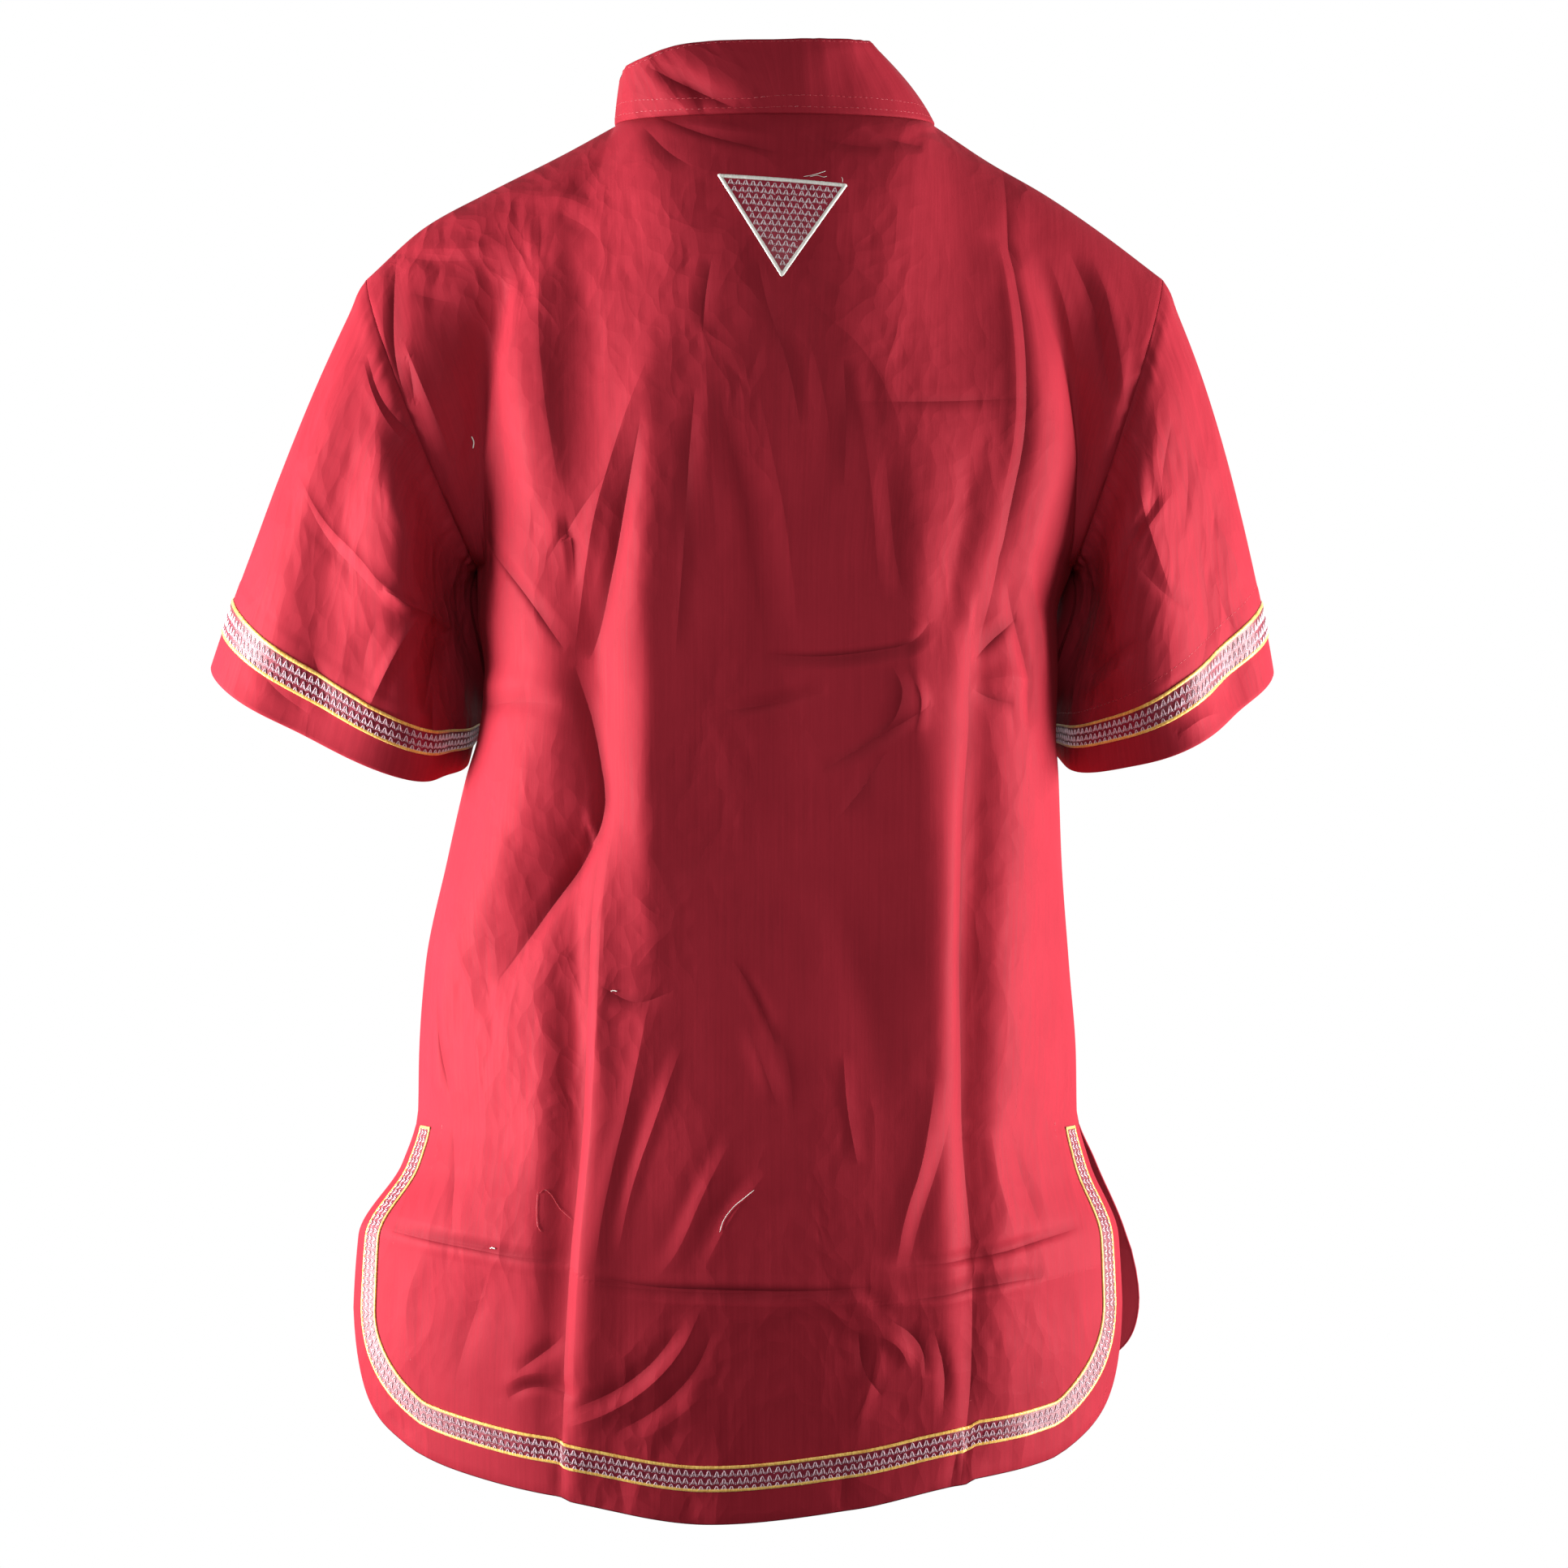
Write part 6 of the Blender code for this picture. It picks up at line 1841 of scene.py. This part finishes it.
ground = Patch()
for share in np.linspace(0.0, 0.985, GROUND_ROWS):
    across = np.linspace(*sides_at(share, 0.0006 * (1 - share)), GROUND_COLUMNS)
    ground.add(on_triangle(across, tip_b * share, 0.00045), pairs(across, 0.0 - tip_b * share))
ground.faces = [grid_faces(GROUND_ROWS, GROUND_COLUMNS)]
ground.finish()
if vertex_normals(ground.array(), ground.faces)[:, 1].sum() < 0:
    ground.faces = ground.faces[:, ::-1]
triangle = [shell("neck_triangle_ground", ground, 0.0005, 0.0005, crimson)]

parts = []
corners = np.array([(0.0, 0.0), (top_length, 0.0), (tip_a, tip_b)])
inside = corners.mean(axis=0)
for start, end in zip(corners, np.roll(corners, -1, axis=0)):
    length = math.hypot(*(end - start))
    ahead = (end - start) / length
    aside = np.array([-ahead[1], ahead[0]])
    if (inside - start) @ aside < 0:
        aside = -aside

    def place(along, across, h, start=start, ahead=ahead, aside=aside):
        return on_triangle(*(start[k] + ahead[k] * along + aside[k] * across for k in (0, 1)), h)
    parts.append(satin(place, SATIN_HALF, SATIN_HALF, 0.0008, length - 0.0008, 0.00068, 0.00075,
                       step=0.0005))
triangle.append(merged("neck_triangle_edge", parts, cream))

sets = []
for row in range(1, 16):
    foot = 0.0023 + TRIANGLE_ROW * row
    left, right = sides_at(foot / tip_b, 0.0024)
    count = int((right - left + 0.0016) / TRIANGLE_PITCH)
    if count < 1 or right <= left:
        continue
    middles = (left + right) / 2 + (np.arange(count) - (count - 1) / 2) * TRIANGLE_PITCH

    def place(x, y, h, foot=foot):
        return on_triangle(x, foot - y, 0.0007 + h)
    sets += figures(place, middles, TRIANGLE_PITCH, [(0.0, TRIANGLE_ROW * 0.98)])
triangle.append(merged("neck_triangle_white", sets, pale))
trims["neck_triangle"] = triangle

LOOSE = (
    # finish, radius in mm, height in mm, line as seen from behind in mm
    (cream, 0.22, 0.5, ((30.1, -627.5), (27.8, -620.8), (22.4, -613.6), (16.6, -608.6),
                        (11.2, -604.2))),
    (cream, 0.35, 0.5, ((171.1, -191.0), (170.7, -187.3), (172.0, -184.1))),
    (cream, 0.3, 0.5, ((90.7, -495.9), (88.9, -495.5), (87.1, -495.9))),
    (cream, 0.35, 0.5, ((158.5, -640.1), (157.2, -639.6), (155.4, -640.1))),
    (red_thread, 0.2, 0.4, ((131.6, -607.7), (132.0, -619.4), (131.1, -626.6), (129.3, -629.3))),
    (red_thread, 0.2, 0.4, ((130.7, -608.6), (127.5, -606.4), (123.5, -610.0), (119.0, -616.7),
                            (111.8, -622.6))),
    (cream, 0.16, 0.9, ((-15.9, -43.4), (-20.4, -42.5), (-24.9, -41.1), (-28.5, -39.8))),
    (cream, 0.14, 0.9, ((-19.5, -43.4), (-23.6, -42.5), (-26.7, -43.4), (-29.0, -43.0))),
    (cream, 0.14, 1.0, ((-37.6, -46.4), (-37.6, -44.6), (-37.1, -43.2))),
)
for number, (finish, radius, height, line) in enumerate(LOOSE):
    places = []
    for x, z in line:
        place, normal = seen_at(x * MM, z * MM)
        places.append(place + normal * (height * MM))
    extras["back_panel"].append(
        loose_thread("loose_thread_%d" % number, places, radius * MM, finish))

# ---------------------------------------------------------------- pieces on the root, solids hidden

for parts in (*trims.values(), *extras.values()):
    for piece in parts:
        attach(piece, "root")
for node, piece in made.items():
    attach(piece, "root")
    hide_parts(node)
for node, parts in trims.items():
    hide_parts(node)
for node, piece in made.items():
    width, length, area, bands = FLATS[node]
    parts = extras[node] + [part for band in bands for part in trims[band]]

# ---------------------------------------------------------------- stage, light and camera

FLOOR_SIDES = 64
FLOOR_RADIUS = 2.9
FLOOR_LEVEL = -2.40
MIDDLE = (0.0, 0.0, -0.38)

scene = bpy.context.scene
turns = np.linspace(0, 2 * math.pi, FLOOR_SIDES, endpoint=False)
disc = triple(FLOOR_RADIUS * np.cos(turns), FLOOR_RADIUS * np.sin(turns), FLOOR_LEVEL)
faces = [np.arange(FLOOR_SIDES)[None]]
floor = link("floor", make_mesh("floor", disc, faces, smooth=False), floor_finish())


def softbox(name, turn, lift, distance, size, power, spread=180.0, aim=MIDDLE):
    """Area light: turn is its angle from behind the shirt towards the wearer's left, in degrees."""
    light = bpy.data.lights.new(name, "AREA")
    light.shape = "RECTANGLE"
    light.size, light.size_y = size
    light.energy = power
    light.spread = math.radians(spread)
    lamp = bpy.data.objects.new(name, light)
    a, e = math.radians(turn), math.radians(lift)
    away = Vector((math.sin(a) * math.cos(e), math.cos(a) * math.cos(e), math.sin(e)))
    lamp.location = Vector(aim) + away * distance
    lamp.rotation_euler = away.to_track_quat("Z", "Y").to_euler()
    scene.collection.objects.link(lamp)


softbox("left light", 87.0, -3.0, 1.2, (0.45, 1.0), 17.2, spread=100.0)
softbox("right light", -88.0, -6.0, 1.2, (0.45, 1.0), 13.2, spread=100.0)
softbox("back light", 0.0, 24.0, 2.7, (1.2, 0.8), 5.9, aim=(0.0, 0.0, -0.62), spread=90.0)
softbox("left front light", 158.0, 15.0, 2.6, (1.2, 1.6), 4.6)
softbox("right front light", -158.0, 15.0, 2.6, (1.2, 1.6), 4.6)

# dim white surroundings, which the camera sees as bright
scene.world = bpy.data.worlds.new("studio")
n = Nodes(scene.world)
n.tree.nodes.clear()
dim, bright = (
    n.add("Background", {"Color": (1.0, 1.0, 1.0, 1.0), "Strength": strength}).outputs[0]
    for strength in (0.14, 1.0))
camera_ray = n.add("LightPath").outputs["Is Camera Ray"]
choose = n.add("MixShader", {0: camera_ray, 1: dim, 2: bright})
n.add("OutputWorld", {"Surface": choose.outputs[0]})

scene.view_settings.view_transform = "Standard"
scene.view_settings.look = "None"

eye = bpy.data.cameras.new("photo camera")
eye.sensor_width = 36.0
eye.lens = 99.1
camera = bpy.data.objects.new("photo camera", eye)
camera.location = (-0.0052, 2.5, -0.381)
camera.rotation_euler = (math.radians(90.0), 0.0, math.radians(180.0))
scene.collection.objects.link(camera)
scene.camera = camera
